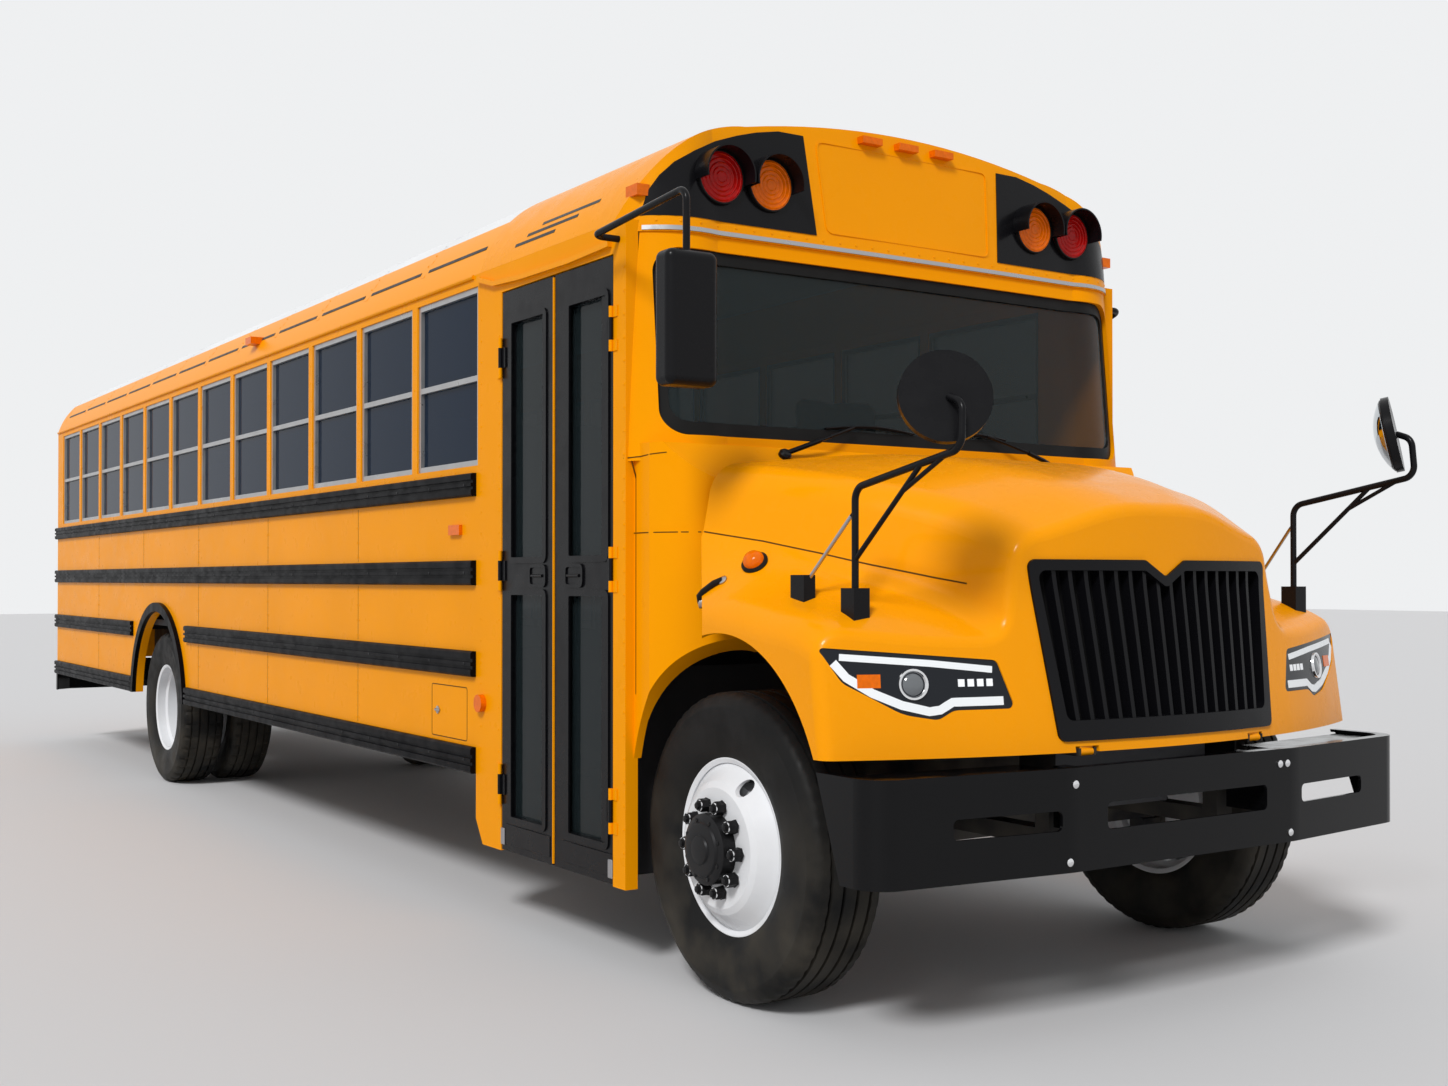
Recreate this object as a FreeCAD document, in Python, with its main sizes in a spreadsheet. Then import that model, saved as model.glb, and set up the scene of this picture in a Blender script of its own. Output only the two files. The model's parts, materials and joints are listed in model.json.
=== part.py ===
"""School bus: a parametric FreeCAD model in millimetres.

The sizes are cells of the Dimensions sheet. Lengths along the bus are measured from the front
axle, forwards positive; Y is to the bus's left and Z is up from the ground. Each node's Placement
moves it forwards by axle_x, so that the finished model's origin lies under the middle of the bus.
"""
import FreeCAD, Part
import math
import os
from FreeCAD import Rotation, Vector

SIZES = (
    # whole bus
    ("axle_x", 4671.4, "front axle ahead of the model's origin"),
    ("wheelbase", 6858.0, "front axle to rear axle"),
    ("half_width", 1219.0, "centre line to the side skin"),
    ("wall", 50.0, "side wall, skin to lining"),
    ("gap", 6.0, "clearance round doors and lids"),
    ("seam", 0.3, "clearance between fitted pieces"),
    # side walls
    ("body_rear", 10260.0, "front axle back to the rear skin"),
    ("skirt_z", 574.0, "bottom edge of the side skirt"),
    ("post_z", 292.0, "bottom edge of the door posts"),
    ("eave_drop", 458.0, "top of the side wall below the top of the roof"),
    ("corner_x", 500.0, "front axle back to the front corner posts"),
    ("door_front", 588.0, "front axle back to the door opening's front edge"),
    ("door_rear", 1496.0, "front axle back to the door opening's rear edge"),
    ("door_drop", 568.0, "top of the door opening below the top of the roof"),
    ("rail_front", 1735.0, "front axle back to the rub rails' front ends"),
    # side windows
    ("window_count", 12.0, "windows on each side behind the door"),
    ("window_pitch", 698.5, "window to window"),
    ("window_front", 1722.0, "front axle back to the first window's front edge"),
    ("window_width", 641.0, "window opening"),
    ("window_sill", 1848.0, "bottom of the window openings"),
    ("window_drop", 507.0, "top of the window openings below the top of the roof"),
    ("sash_bar_drop", 7.5, "bar between the sashes below the middle of the window openings"),
    ("frame_width", 24.0, "window frame's face"),
    ("frame_depth", 34.0, "window frame, front to back"),
    ("glass", 6.0, "pane thickness"),
    ("driver_window", 760.0, "driver's window opening"),
    # wheel arches
    ("arch_radius", 640.0, "rear wheel arch"),
    ("arch_z", 520.0, "rear wheel arch's centre"),
    ("flare", 60.0, "rubber flare round the rear arch"),
    ("flare_depth", 28.0, "how far the flare stands out"),
    # roof
    ("roof_skin", 45.0, "roof, skin to lining"),
    ("crown_z", 3098.0, "top of the roof"),
    ("haunch_y", 741.0, "where the crown meets the corner curve"),
    ("haunch_drop", 72.0, "that line below the top of the roof"),
    ("cove_y", 1106.0, "middle of the corner curve"),
    ("cove_drop", 253.0, "that line below the top of the roof"),
    ("cap_rear", 1700.0, "front axle back to the front cap's rear seam"),
    ("cap_drop", 498.0, "bottom of the front cap below the top of the roof"),
    ("cap_front", 400.0, "front axle back to the cap's lip"),
    ("cap_rake", 56.0, "how far the cap's top lies behind its lip"),
    ("corner_depth", 190.0, "how far the front corners curve back"),
    ("corner_width", 330.0, "how far in from the side that curve starts"),
    # windscreen
    ("screen_sill", 1880.0, "bottom of the windscreen opening"),
    ("screen_drop", 553.0, "top of the windscreen opening below the top of the roof"),
    ("screen_foot_x", 344.0, "front axle back to the windscreen's foot"),
    ("screen_head_x", 404.0, "front axle back to the windscreen's head"),
    ("screen_post", 84.0, "windscreen opening in from the side skin"),
    ("screen_corner", 90.0, "corner radius of the windscreen opening"),
    ("surround", 60.0, "windscreen surround, front to back"),
    # cowl
    ("cowl_front", 205.0, "front axle back to the cowl's front"),
    ("cowl_z", 1790.0, "top of the cowl's front edge"),
    ("cowl_inset", 34.0, "how far the cowl lies inside the body's side, behind the fender"),
    # floor and frame
    ("floor_z", 1100.0, "top of the cabin floor"),
    ("floor_skin", 40.0, "floor thickness"),
    ("joist", 60.0, "floor joist height"),
    ("rail_y", 356.0, "inside of the frame rails"),
    ("rail_width", 76.0, "frame rail flange"),
    ("rail_height", 260.0, "frame rail height"),
    ("rail_web", 9.0, "frame rail thickness"),
    ("rail_nose", 780.0, "front end of the frame rails"),
    ("rail_tail", 10180.0, "rear end of the frame rails"),
    # bumpers
    ("bumper_x", 950.0, "front face of the front bumper"),
    ("bumper_foot", 504.0, "bottom of the front bumper"),
    ("bumper_top", 815.0, "top of the front bumper"),
    ("bumper_flat", 520.0, "half the flat middle of the bumper"),
    ("bumper_plate", 10.0, "bumper plate"),
    ("bumper_flange", 35.0, "bumper flange, front to back"),
    ("rear_bumper_x", 10400.0, "front axle back to the rear bumper's face"),
    # hood
    ("hood_rear", 190.0, "front axle back to the hood's rear edge"),
    ("hood_skin", 26.0, "hood and fender thickness"),
    ("nose_x", 915.5, "front of the nose at its foot"),
    ("nose_edge", 50.0, "rounding of the nose's outer edge"),
    ("nose_crown", 2800.0, "radius of the nose in plan"),
    ("brow_x", 844.0, "front of the brow over the grille"),
    ("brow_z", 1386.0, "bottom of the brow, at the grille's notch"),
    ("brow_round", 900.0, "radius between the nose and the brow"),
    ("hood_crest", 1828.0, "top of the hood's rear edge"),
    ("shoulder_round", 120.0, "fender's outer shoulder"),
    ("seam_round", 90.0, "hollow between the fender and the hood"),
    ("crown_round", 130.0, "hood's upper corner"),
    ("panel_round", 700.0, "edge of the hood's raised middle"),
    ("nose_foot", 850.0, "bottom edge of the nose"),
    ("fender_arch_x", 95.0, "front arch's centre"),
    ("fender_arch_z", 560.0, "front arch's centre height"),
    ("fender_arch_a", 560.0, "front arch, half length"),
    ("fender_arch_b", 645.0, "front arch, height above its centre"),
    ("fender_lip", 78.0, "fender band behind the front wheel"),
    ("fender_foot", 640.0, "bottom of the fender band"),
    ("hinge_x", 875.0, "hood hinge"),
    ("hinge_z", 850.0, "hood hinge height"),
    ("hinge_pin", 8.0, "hood hinge pin"),
    ("ear", 10.0, "hood hinge ear thickness"),
    ("ear_half", 12.0, "half the hood hinge ears' height"),
    # grille
    ("grille_top", 1438.0, "top of the grille"),
    ("grille_foot", 884.0, "bottom of the grille"),
    ("grille_half_top", 555.0, "half the grille's width at its top"),
    ("grille_half_foot", 497.0, "half the grille's width at its foot"),
    ("grille_notch", 92.0, "half the width of the notch in the grille's top"),
    ("notch_drop", 54.0, "depth of that notch"),
    ("grille_frame", 34.0, "grille frame's face"),
    ("grille_sill", 62.0, "grille frame's lower face"),
    ("grille_bar", 15.0, "grille bar's width"),
    ("grille_bars", 16.0, "grille bars"),
    ("grille_depth", 46.0, "grille, front to back"),
    # wheels
    ("tyre_radius", 505.0, "tyre"),
    ("tyre_width", 279.0, "tyre section"),
    ("rim_radius", 285.75, "tyre bead"),
    ("flange_radius", 300.0, "rim flange"),
    ("rim_half", 114.0, "rim centre to its flange"),
    ("rim_wall", 14.0, "rim thickness"),
    ("disc_offset", 165.0, "wheel centre to the disc's mounting face"),
    ("front_track", 1002.0, "centre line to the front wheel's centre"),
    ("rear_track", 1051.0, "centre line to the outer rear wheel's centre"),
    ("hub_radius", 112.0, "wheel hub"),
    ("stud_circle", 142.875, "wheel studs' circle"),
    ("nut_radius", 19.0, "wheel nuts"),
    ("king_y", 850.0, "centre line to the kingpins"),
    ("king_radius", 24.0, "kingpin"),
    # engine bay and running gear
    ("engine_length", 760.0, "engine"),
    ("engine_width", 560.0, "engine"),
    ("engine_height", 640.0, "engine"),
    ("spring_width", 76.0, "leaf springs"),
    ("spring_y", 500.0, "centre line to the rear springs"),
    ("shaft_radius", 50.0, "propeller shaft"),
    # seats
    ("seat_rows", 12.0, "rows of passenger seats"),
    ("seat_width", 990.0, "passenger seat"),
    ("seat_depth", 380.0, "seat cushion, front to back"),
    ("seat_z", 430.0, "cushion top above the floor"),
    ("cushion", 110.0, "cushion thickness"),
    ("back_height", 610.0, "seat back above the cushion"),
    ("back_thick", 95.0, "seat back"),
    # entrance
    ("step_inner", 470.0, "centre line to the top step's riser"),
    ("step_rise", 255.0, "entrance step"),
    ("step_run", 230.0, "entrance step"),
    ("step_plate", 12.0, "step plate"),
    ("leaf", 40.0, "door leaf thickness"),
    ("leaf_gap", 12.0, "gap between the door leaves"),
    ("stile", 82.0, "door leaf's outer stile"),
    ("meeting_stile", 95.0, "door leaf's meeting stile"),
    ("kick_z", 438.0, "bottom of the lower door panes"),
    ("lock_low", 1315.0, "top of the lower door panes"),
    ("lock_high", 1463.0, "bottom of the upper door panes"),
    ("door_pane_drop", 706.0, "top of the upper door panes below the top of the roof"),
    # rear door
    ("rear_door_half", 330.0, "half the rear door opening"),
    ("rear_door_drop", 568.0, "top of the rear door opening below the top of the roof"),
    ("rear_foot", 700.0, "bottom of the rear wall"),
    ("barrel", 8.0, "door hinge barrel radius"),
    # running fits
    ("running", 0.05, "clearance of a shaft in its bore"),
    ("spindle", 45.0, "front spindle radius"),
    ("axle_tube", 60.0, "rear axle tube radius"),
    ("nut_length", 40.0, "wheel nut and stud"),
    ("drum_radius", 200.0, "brake drum"),
    # lamps
    ("lamp_radius", 92.0, "warning lamp lens"),
    ("lamp_depth", 40.0, "warning lamp lens"),
    ("lamp_drop", 285.0, "front warning lamps' middles below the top of the roof"),
    ("rear_lamp_drop", 358.0, "rear warning lamps' middles below the top of the roof"),
    ("marker_drop", 353.0, "side marker lamps' middles below the top of the roof"),
    ("red_y", 878.0, "centre line to the red warning lamps"),
    ("amber_y", 662.0, "centre line to the amber warning lamps"),
    ("visor_reach", 110.0, "lamp hood"),
    # mirrors
    ("mirror_reach", 1060.0, "front axle to the crossview mirror arms' front"),
    ("mirror_out", 6.0, "side skin to the rear-view mirrors' insides"),
    ("mirror_wide", 190.0, "rear-view mirror housing"),
    ("mirror_tall", 430.0, "rear-view mirror housing"),
    ("tube", 12.0, "mirror arm tube radius"),
    ("dish_y", 1040.0, "centre line to the crossview mirrors"),
    ("dish_z", 1885.0, "crossview mirrors' height"),
    ("right_mirror_drop", 898.0, "right rear-view mirror's middle below the top of the roof"),
    ("left_mirror_drop", 1088.0, "left rear-view mirror's middle below the top of the roof"),
    ("dish_radius", 134.0, "crossview mirror"),
)


class Size(float):
    """A number that remembers the sheet expression it came from."""

    def __new__(cls, value, text):
        made = super().__new__(cls, value)
        made.text = text
        return made

    def _join(self, other, sign, swapped, value):
        mine, theirs = self.text, text_of(other)
        left, right = (theirs, mine) if swapped else (mine, theirs)
        return Size(value, f"({left} {sign} {right})")

    def __add__(self, other):
        return self._join(other, "+", False, float(self) + float(other))

    def __radd__(self, other):
        return self._join(other, "+", True, float(other) + float(self))

    def __sub__(self, other):
        return self._join(other, "-", False, float(self) - float(other))

    def __rsub__(self, other):
        return self._join(other, "-", True, float(other) - float(self))

    def __mul__(self, other):
        return self._join(other, "*", False, float(self) * float(other))

    def __rmul__(self, other):
        return self._join(other, "*", True, float(other) * float(self))

    def __truediv__(self, other):
        return self._join(other, "/", False, float(self) / float(other))

    def __neg__(self):
        return Size(-float(self), f"(-{self.text})")


def text_of(value):
    return value.text if isinstance(value, Size) else repr(float(value))


doc = FreeCAD.newDocument("SchoolBus")
sheet = doc.addObject("Spreadsheet::Sheet", "Dimensions")
for row, (alias, number, note) in enumerate(SIZES, start=1):
    sheet.set(f"A{row}", note)
    sheet.set(f"B{row}", str(number))
    sheet.setAlias(f"B{row}", alias)
doc.recompute()


class Dims:
    """The sheet's cells, each as a Size."""


dims = Dims()
for alias, number, note in SIZES:
    setattr(dims, alias, Size(getattr(sheet, alias), f"Dimensions.{alias}"))
for alias, drop in (
    ("eave_z", dims.eave_drop), ("door_top", dims.door_drop), ("window_head", dims.window_drop),
    ("haunch_z", dims.haunch_drop), ("cove_z", dims.cove_drop), ("cap_foot", dims.cap_drop),
    ("screen_head", dims.screen_drop), ("door_pane_top", dims.door_pane_drop),
    ("rear_door_top", dims.rear_door_drop),
):
    setattr(dims, alias, dims.crown_z - drop)
dims.sash_bar_z = (dims.window_sill + dims.window_head) / 2 - dims.sash_bar_drop

nodes = []


# --- helpers -----------------------------------------------------------------------------------

def bind(thing, prop, value):
    """Give a property a plain number, or bind it to the sheet when the value is a Size."""
    if isinstance(value, Size):
        thing.setExpression(prop, value.text)
    elif prop.startswith("Placement.Base."):
        setattr(thing.Placement.Base, prop[-1], value)
    else:
        setattr(thing, prop, value)


def put(thing, at, turn=None):
    """Place an object: at gives x, y and z, and turn a Rotation."""
    thing.Placement = FreeCAD.Placement(
        Vector(*[float(n) for n in at]), turn or Rotation())
    for letter, value in zip("xyz", at):
        if isinstance(value, Size):
            thing.setExpression(f"Placement.Base.{letter}", value.text)
    return thing


def box(low, high):
    """A Part::Box between two corners."""
    made = doc.addObject("Part::Box", "Box")
    for prop, start, end in zip(("Length", "Width", "Height"), low, high):
        bind(made, prop, end - start)
    return put(made, low)


TURN = {
    "x": Rotation(Vector(0, 1, 0), 90),
    "y": Rotation(Vector(1, 0, 0), -90),
    "z": Rotation(),
}


def cylinder(radius, length, at, along="z"):
    """A Part::Cylinder that starts at a point and runs along +X, +Y or +Z."""
    made = doc.addObject("Part::Cylinder", "Cylinder")
    bind(made, "Radius", radius)
    bind(made, "Height", length)
    return put(made, at, TURN[along])


def fuse(*parts):
    made = doc.addObject("Part::MultiFuse", "Fuse")
    made.Shapes = list(parts)
    return made


def cut(base, *tools):
    made = doc.addObject("Part::Cut", "Cut")
    made.Base = base
    made.Tool = tools[0] if len(tools) == 1 else group(*tools)
    return made


def common(first, second):
    made = doc.addObject("Part::Common", "Common")
    made.Base, made.Tool = first, second
    return made


def group(*parts):
    """Separate solids kept together."""
    made = doc.addObject("Part::Compound", "Group")
    made.Links = list(parts)
    return made


def moved(part, at, turn=None):
    """A copy of an object in another place."""
    return put(group(part), at, turn)


def mirrored(part):
    """A copy on the bus's other side."""
    made = doc.addObject("Part::Mirroring", "Mirror")
    made.Source = part
    made.Base = Vector(0, 0, 0)
    made.Normal = Vector(0, 1, 0)
    return made


def both_sides(part):
    return group(part, mirrored(part))


PLANES = {"xy": "XY_Plane", "xz": "XZ_Plane", "yz": "YZ_Plane"}


def profile(plane, outline, start, end):
    """A PartDesign pad of a closed outline between two levels along the plane's normal.

    An outline entry is a point (a, b), or an arc's (via a, via b, end a, end b). On xy the pad
    rises along Z; on xz, a is X and b is Z and levels count along -Y; on yz, a is Y, b is Z and
    levels count along X.
    """
    body = doc.addObject("PartDesign::Body", "Body")
    sketch = body.newObject("Sketcher::SketchObject", "Outline")
    origin = [part for part in body.Origin.OriginFeatures if part.Role == PLANES[plane]][0]
    sketch.AttachmentSupport = (origin, "")
    sketch.MapMode = "FlatFace"
    sketch.setExpression("AttachmentOffset.Base.z", text_of(start))
    ends = [entry[-2:] for entry in outline]
    for index, entry in enumerate(outline):
        a, b = ends[index - 1], entry[-2:]
        one, two = Vector(float(a[0]), float(a[1]), 0), Vector(float(b[0]), float(b[1]), 0)
        if len(entry) == 4:
            via = Vector(float(entry[0]), float(entry[1]), 0)
            sketch.addGeometry(Part.Arc(one, via, two), False)
        else:
            sketch.addGeometry(Part.LineSegment(one, two), False)
    pin_outline(sketch, outline)
    pad = body.newObject("PartDesign::Pad", "Pad")
    pad.Profile = sketch
    bind(pad, "Length", end - start)
    return body


def pin_outline(sketch, outline):
    """Tie each straight corner of a sketched outline to the sheet."""
    import Sketcher
    if any(len(entry) == 4 for entry in outline):
        return
    count = len(outline)
    for index in range(count):
        sketch.addConstraint(Sketcher.Constraint("Coincident", index, 2, (index + 1) % count, 1))
    for index, (a, b) in enumerate(outline):
        for kind, value in (("DistanceX", a), ("DistanceY", b)):
            if float(value) == 0.0:
                rule = Sketcher.Constraint(
                    "PointOnObject", index, 2, -2 if kind == "DistanceX" else -1)
                sketch.addConstraint(rule)
                continue
            rule = Sketcher.Constraint(kind, -1, 1, index, 2, float(value))
            number = sketch.addConstraint(rule)
            if isinstance(value, Size):
                sketch.setExpression(f"Constraints[{number}]", value.text)


def shape(made):
    """A Part::Feature that holds a shape made with Part's own functions."""
    feature = doc.addObject("Part::Feature", "Shape")
    feature.Shape = made
    return feature


def wire(points):
    corners = [Vector(*[float(n) for n in point]) for point in points]
    return Part.makePolygon(corners + corners[:1])


def rounded(corners, radii):
    """Outline entries through corners, those between the first and the last rounded; 0 stays sharp."""
    entries = [corners[0]]
    for before, corner, after, radius in zip(corners, corners[1:], corners[2:], radii):
        if not float(radius):
            entries.append(corner)
            continue
        before, corner, after = [Vector(float(a), float(b), 0) for a, b in (before, corner, after)]
        back = (before - corner).normalize()
        ahead = (after - corner).normalize()
        half_turn = (math.pi - back.getAngle(ahead)) / 2
        first = corner + back * (float(radius) * math.tan(half_turn))
        last = corner + ahead * (float(radius) * math.tan(half_turn))
        via = corner + (back + ahead).normalize() * (float(radius) * (1 / math.cos(half_turn) - 1))
        entries += [(first.x, first.y), (via.x, via.y, last.x, last.y)]
    return entries + [corners[-1]]


def rounded_loop(corners, radii):
    """A closed outline with every corner rounded."""
    start = tuple((float(a) + float(b)) / 2 for a, b in zip(corners[-1], corners[0]))
    return rounded([start, *corners, start], radii)[1:]


def loop_wire(entries, place):
    """A closed wire along outline entries, each point set in space by place."""
    edges = []
    start = place(*entries[-1][-2:])
    for entry in entries:
        end = place(*entry[-2:])
        if len(entry) == 4:
            edges.append(Part.Arc(start, place(*entry[:2]), end).toShape())
        else:
            edges.append(Part.LineSegment(start, end).toShape())
        start = end
    return Part.Wire(edges)


def tube_path(points, radius, bend):
    """A round tube along straight runs with a tangent arc at each corner."""
    points = [Vector(*[float(n) for n in point]) for point in points]
    edges, start = [], points[0]
    for before, corner, after in zip(points, points[1:], points[2:]):
        back = (before - corner).normalize()
        ahead = (after - corner).normalize()
        half = back.getAngle(ahead) / 2
        reach = min(bend / math.tan(half), 0.45 * (before - corner).Length,
                    0.45 * (after - corner).Length)
        enter, leave = corner + back * reach, corner + ahead * reach
        middle = (back + ahead).normalize()
        round_off = reach * math.tan(half)
        centre = corner + middle * (round_off / math.sin(half))
        edges.append(Part.LineSegment(start, enter).toShape())
        edges.append(Part.Arc(enter, centre - middle * round_off, leave).toShape())
        start = leave
    edges.append(Part.LineSegment(start, points[-1]).toShape())
    spine = Part.Wire(edges)
    ring = Part.Circle(points[0], points[1] - points[0], float(radius)).toShape()
    return spine.makePipeShell([Part.Wire([ring])], True, False)


def node(name, part):
    """Name a finished piece and move it to the model's own frame."""
    final = group(part)
    final.Label = name
    final.setExpression("Placement.Base.x", dims.axle_x.text)
    nodes.append(final)


# --- frame and floor ---------------------------------------------------------------------------

rail_top = dims.floor_z - dims.floor_skin - dims.joist
rail_foot = rail_top - dims.rail_height


def frame_rail():
    outer = box((-dims.rail_tail, -dims.rail_y - dims.rail_width, rail_foot),
                (dims.rail_nose, -dims.rail_y, rail_top))
    hollow = box((-dims.rail_tail - dims.gap, -dims.rail_y - dims.rail_width + dims.rail_web,
                  rail_foot + dims.rail_web),
                 (dims.rail_nose + dims.gap, -dims.rail_y + dims.gap, rail_top - dims.rail_web))
    return cut(outer, hollow)


member_z = (rail_foot + rail_top) / 2


def crossmember(behind):
    """A tube between the rails, a distance behind the front axle."""
    return cylinder(60.0, 2 * (dims.rail_y + dims.rail_width - dims.rail_web),
                    (-behind, -dims.rail_y - dims.rail_width + dims.rail_web, member_z), "y")


def frame():
    rail = frame_rail()
    members = [crossmember(b) for b in (1500.0, 3100.0, 4700.0, dims.wheelbase - 760.0,
                                        dims.wheelbase + 760.0, 9200.0)]
    mount = box((100.0, -dims.rail_y, 780.0), (200.0, -dims.engine_width / 2 - dims.seam, 860.0))
    return group(both_sides(group(rail, mount, hood_ears())), *members)


def hood_ears():
    """A bracket on the rail's nose with two ears and the hood's hinge pin between them."""
    outer, inner = -dims.rail_y - dims.rail_width, -dims.rail_y
    foot, head = dims.hinge_z - dims.ear_half, dims.hinge_z + dims.ear_half
    block = box((dims.rail_nose, outer, foot), (dims.rail_nose + 12.0, inner, head))
    ears = [box((dims.rail_nose, y, foot), (dims.hinge_x + dims.ear_half, y + dims.ear, head))
            for y in (outer, inner - dims.ear)]
    return fuse(block, *ears, cylinder(dims.hinge_pin, dims.rail_width, (dims.hinge_x, outer, dims.hinge_z), "y"))


def hood_knuckle():
    """The hood's half of that hinge: a barrel round the pin with a strap up to the nose."""
    low = -dims.rail_y - dims.rail_width + dims.ear + 1.0
    high = -dims.rail_y - dims.ear - 1.0
    barrel = cylinder(dims.hinge_pin + 4.0, high - low, (dims.hinge_x, low, dims.hinge_z), "y")
    strap = box((dims.hinge_x - 10.0, low, dims.hinge_z), (dims.hinge_x + 6.0, high, dims.grille_foot - 4.0))
    bore = cylinder(dims.hinge_pin + dims.seam, dims.rail_width,
                    (dims.hinge_x, -dims.rail_y - dims.rail_width, dims.hinge_z), "y")
    return cut(fuse(barrel, strap), bore)


def hinge_notch():
    """The opening in the nose's foot round a hinge's ears and barrel."""
    return box((dims.hinge_x - 45.0, -dims.rail_y - dims.rail_width - dims.gap, dims.hinge_z - 30.0),
               (dims.hinge_x + 45.0, -dims.rail_y + dims.gap, dims.hinge_z + dims.ear_half + dims.gap))


def floor():
    inner = dims.half_width - dims.wall - dims.seam
    deck = box((-dims.body_rear + dims.wall + 12.0, -inner, dims.floor_z - dims.floor_skin),
               (-dims.door_rear, inner, dims.floor_z))
    platform = box((-dims.door_rear, -dims.step_inner, dims.floor_z - dims.floor_skin),
                   (-dims.corner_x - dims.surround - dims.wall, inner, dims.floor_z))
    joists = []
    for behind in (2000.0, 3000.0, 4000.0, 5000.0, 8200.0, 9200.0, 10000.0):
        joists.append(box((-behind, -inner, rail_top + dims.seam),
                          (-behind + dims.joist, inner, dims.floor_z - dims.floor_skin)))
    return fuse(deck, platform, *joists)


node("frame_rails", frame())


# --- door hinges -------------------------------------------------------------------------------

LEAF_SET_BACK = 2.0


def barrel_heights(foot, head, own):
    """Three hinges on a door: the leaf's own middle barrels, or the wall's above and below them."""
    made = []
    for middle in (foot + 260.0, (foot + head) / 2, head - 260.0):
        if own:
            made.append((middle - 40.0, middle + 40.0))
        else:
            made.append((middle - 80.0, middle - 40.0 - dims.seam))
            made.append((middle + 40.0 + dims.seam, middle + 80.0))
    return made


def hinge(side, heights, set_back):
    """Barrels on the Z axis with straps along X to one side, on a skin one barrel behind them."""
    made = []
    for foot, head in heights:
        made.append(cylinder(dims.barrel, head - foot, (0.0, 0.0, foot)))
        near, far = sorted((0.0, side * 36.0))
        made.append(box((near, dims.barrel - 4.0, foot), (far, dims.barrel + set_back, head)))
    return fuse(*made)


def side_hinge(x, side, foot, head, own):
    """A door leaf's hinge on the right side: own for the leaf's half, otherwise the wall's."""
    part = hinge(side, barrel_heights(foot, head, own), LEAF_SET_BACK if own else 0.0)
    return moved(part, (x, -dims.half_width - dims.barrel, 0.0))


leaf_foot = dims.post_z + dims.gap
leaf_head = dims.door_top - dims.gap
rear_hinge_x = -dims.door_rear + dims.gap / 2
front_hinge_x = -dims.door_front - dims.gap / 2
rear_leaf_low = dims.floor_z + dims.gap * 2
rear_leaf_high = dims.rear_door_top - dims.gap


def rear_door_hinge(own):
    """The rear door's hinge at the doorway's right edge: own for the door's half."""
    part = hinge(-1.0 if own else 1.0, barrel_heights(rear_leaf_low, rear_leaf_high, own),
                 LEAF_SET_BACK if own else 0.0)
    at = (-dims.body_rear - dims.barrel, -dims.rear_door_half + dims.gap / 2, 0.0)
    return moved(part, at, Rotation(Vector(0, 0, 1), -90))


# --- side walls --------------------------------------------------------------------------------

stop_x, stop_z = -2150.0, 1590.0
stop_half = 457.0 / 2
stop_pin_x = stop_x + stop_half + 110.0
stop_y = dims.half_width + 40.0


def stop_bracket():
    """Two ears on the left wall above and below the stop arm's barrel."""
    ears = [box((stop_pin_x - 16.0, dims.half_width + dims.seam, low), (stop_pin_x + 16.0, stop_y + 16.0, low + 12.0))
            for low in (stop_z - 62.0 - dims.seam, stop_z + 50.0 + dims.seam)]
    back = box((stop_pin_x - 16.0, dims.half_width, stop_z - 62.0 - dims.seam),
               (stop_pin_x + 16.0, dims.half_width + 8.0, stop_z + 62.0 + dims.seam))
    return fuse(back, *ears)


def window_holes(side):
    """Blocks that cut the passenger windows: side is -1 for the right and 1 for the left."""
    depth = dims.wall * 4
    first = box((-dims.window_front - dims.window_width, -depth / 2, dims.window_sill),
                (-dims.window_front, depth / 2, dims.window_head))
    return [moved(first, (-dims.window_pitch * index, side * dims.half_width, 0.0))
            for index in range(int(dims.window_count))]


def arch_disc(radius, start, end):
    """A round block that cuts or makes the rear arch between two distances from the centre."""
    return cylinder(radius, end - start, (-dims.wheelbase, start, dims.arch_z), "y")


def wall_blank(outline, side):
    """A side wall from its outline in X and Z, between the skin and the lining."""
    if side < 0:
        return profile("xz", outline, dims.half_width - dims.wall, dims.half_width)
    return profile("xz", outline, -dims.half_width, -dims.half_width + dims.wall)


def right_wall():
    step_x = dims.rail_front
    outline = (
        (-dims.body_rear, dims.skirt_z), (-step_x, dims.skirt_z),
        (-step_x, dims.post_z + 98.0), (-step_x + 66.0, dims.post_z), (-dims.door_rear, dims.post_z),
        (-dims.door_rear, dims.door_top), (-dims.door_front, dims.door_top),
        (-dims.door_front, dims.post_z), (-dims.corner_x, dims.post_z),
        (-dims.corner_x, dims.eave_z), (-dims.body_rear, dims.eave_z),
    )
    arch = arch_disc(dims.arch_radius, -dims.half_width - dims.wall, -dims.half_width + dims.wall * 2)
    panel = cut(wall_blank(outline, -1), arch, *window_holes(-1))
    return fuse(panel, side_hinge(rear_hinge_x, -1.0, leaf_foot, leaf_head, False),
                side_hinge(front_hinge_x, 1.0, leaf_foot, leaf_head, False))


driver_rear = dims.window_front - 60.0


def left_wall():
    outline = (
        (-dims.body_rear, dims.skirt_z), (-dims.corner_x - 60.0, dims.skirt_z),
        (-dims.corner_x, dims.skirt_z + 60.0), (-dims.corner_x, dims.eave_z),
        (-dims.body_rear, dims.eave_z),
    )
    arch = arch_disc(dims.arch_radius, dims.half_width - dims.wall * 2, dims.half_width + dims.wall)
    driver = box((-driver_rear, dims.half_width - dims.wall * 2, dims.window_sill),
                 (-driver_rear + dims.driver_window, dims.half_width + dims.wall, dims.window_head))
    return fuse(cut(wall_blank(outline, 1), arch, driver, *window_holes(1)), stop_bracket())


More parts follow.
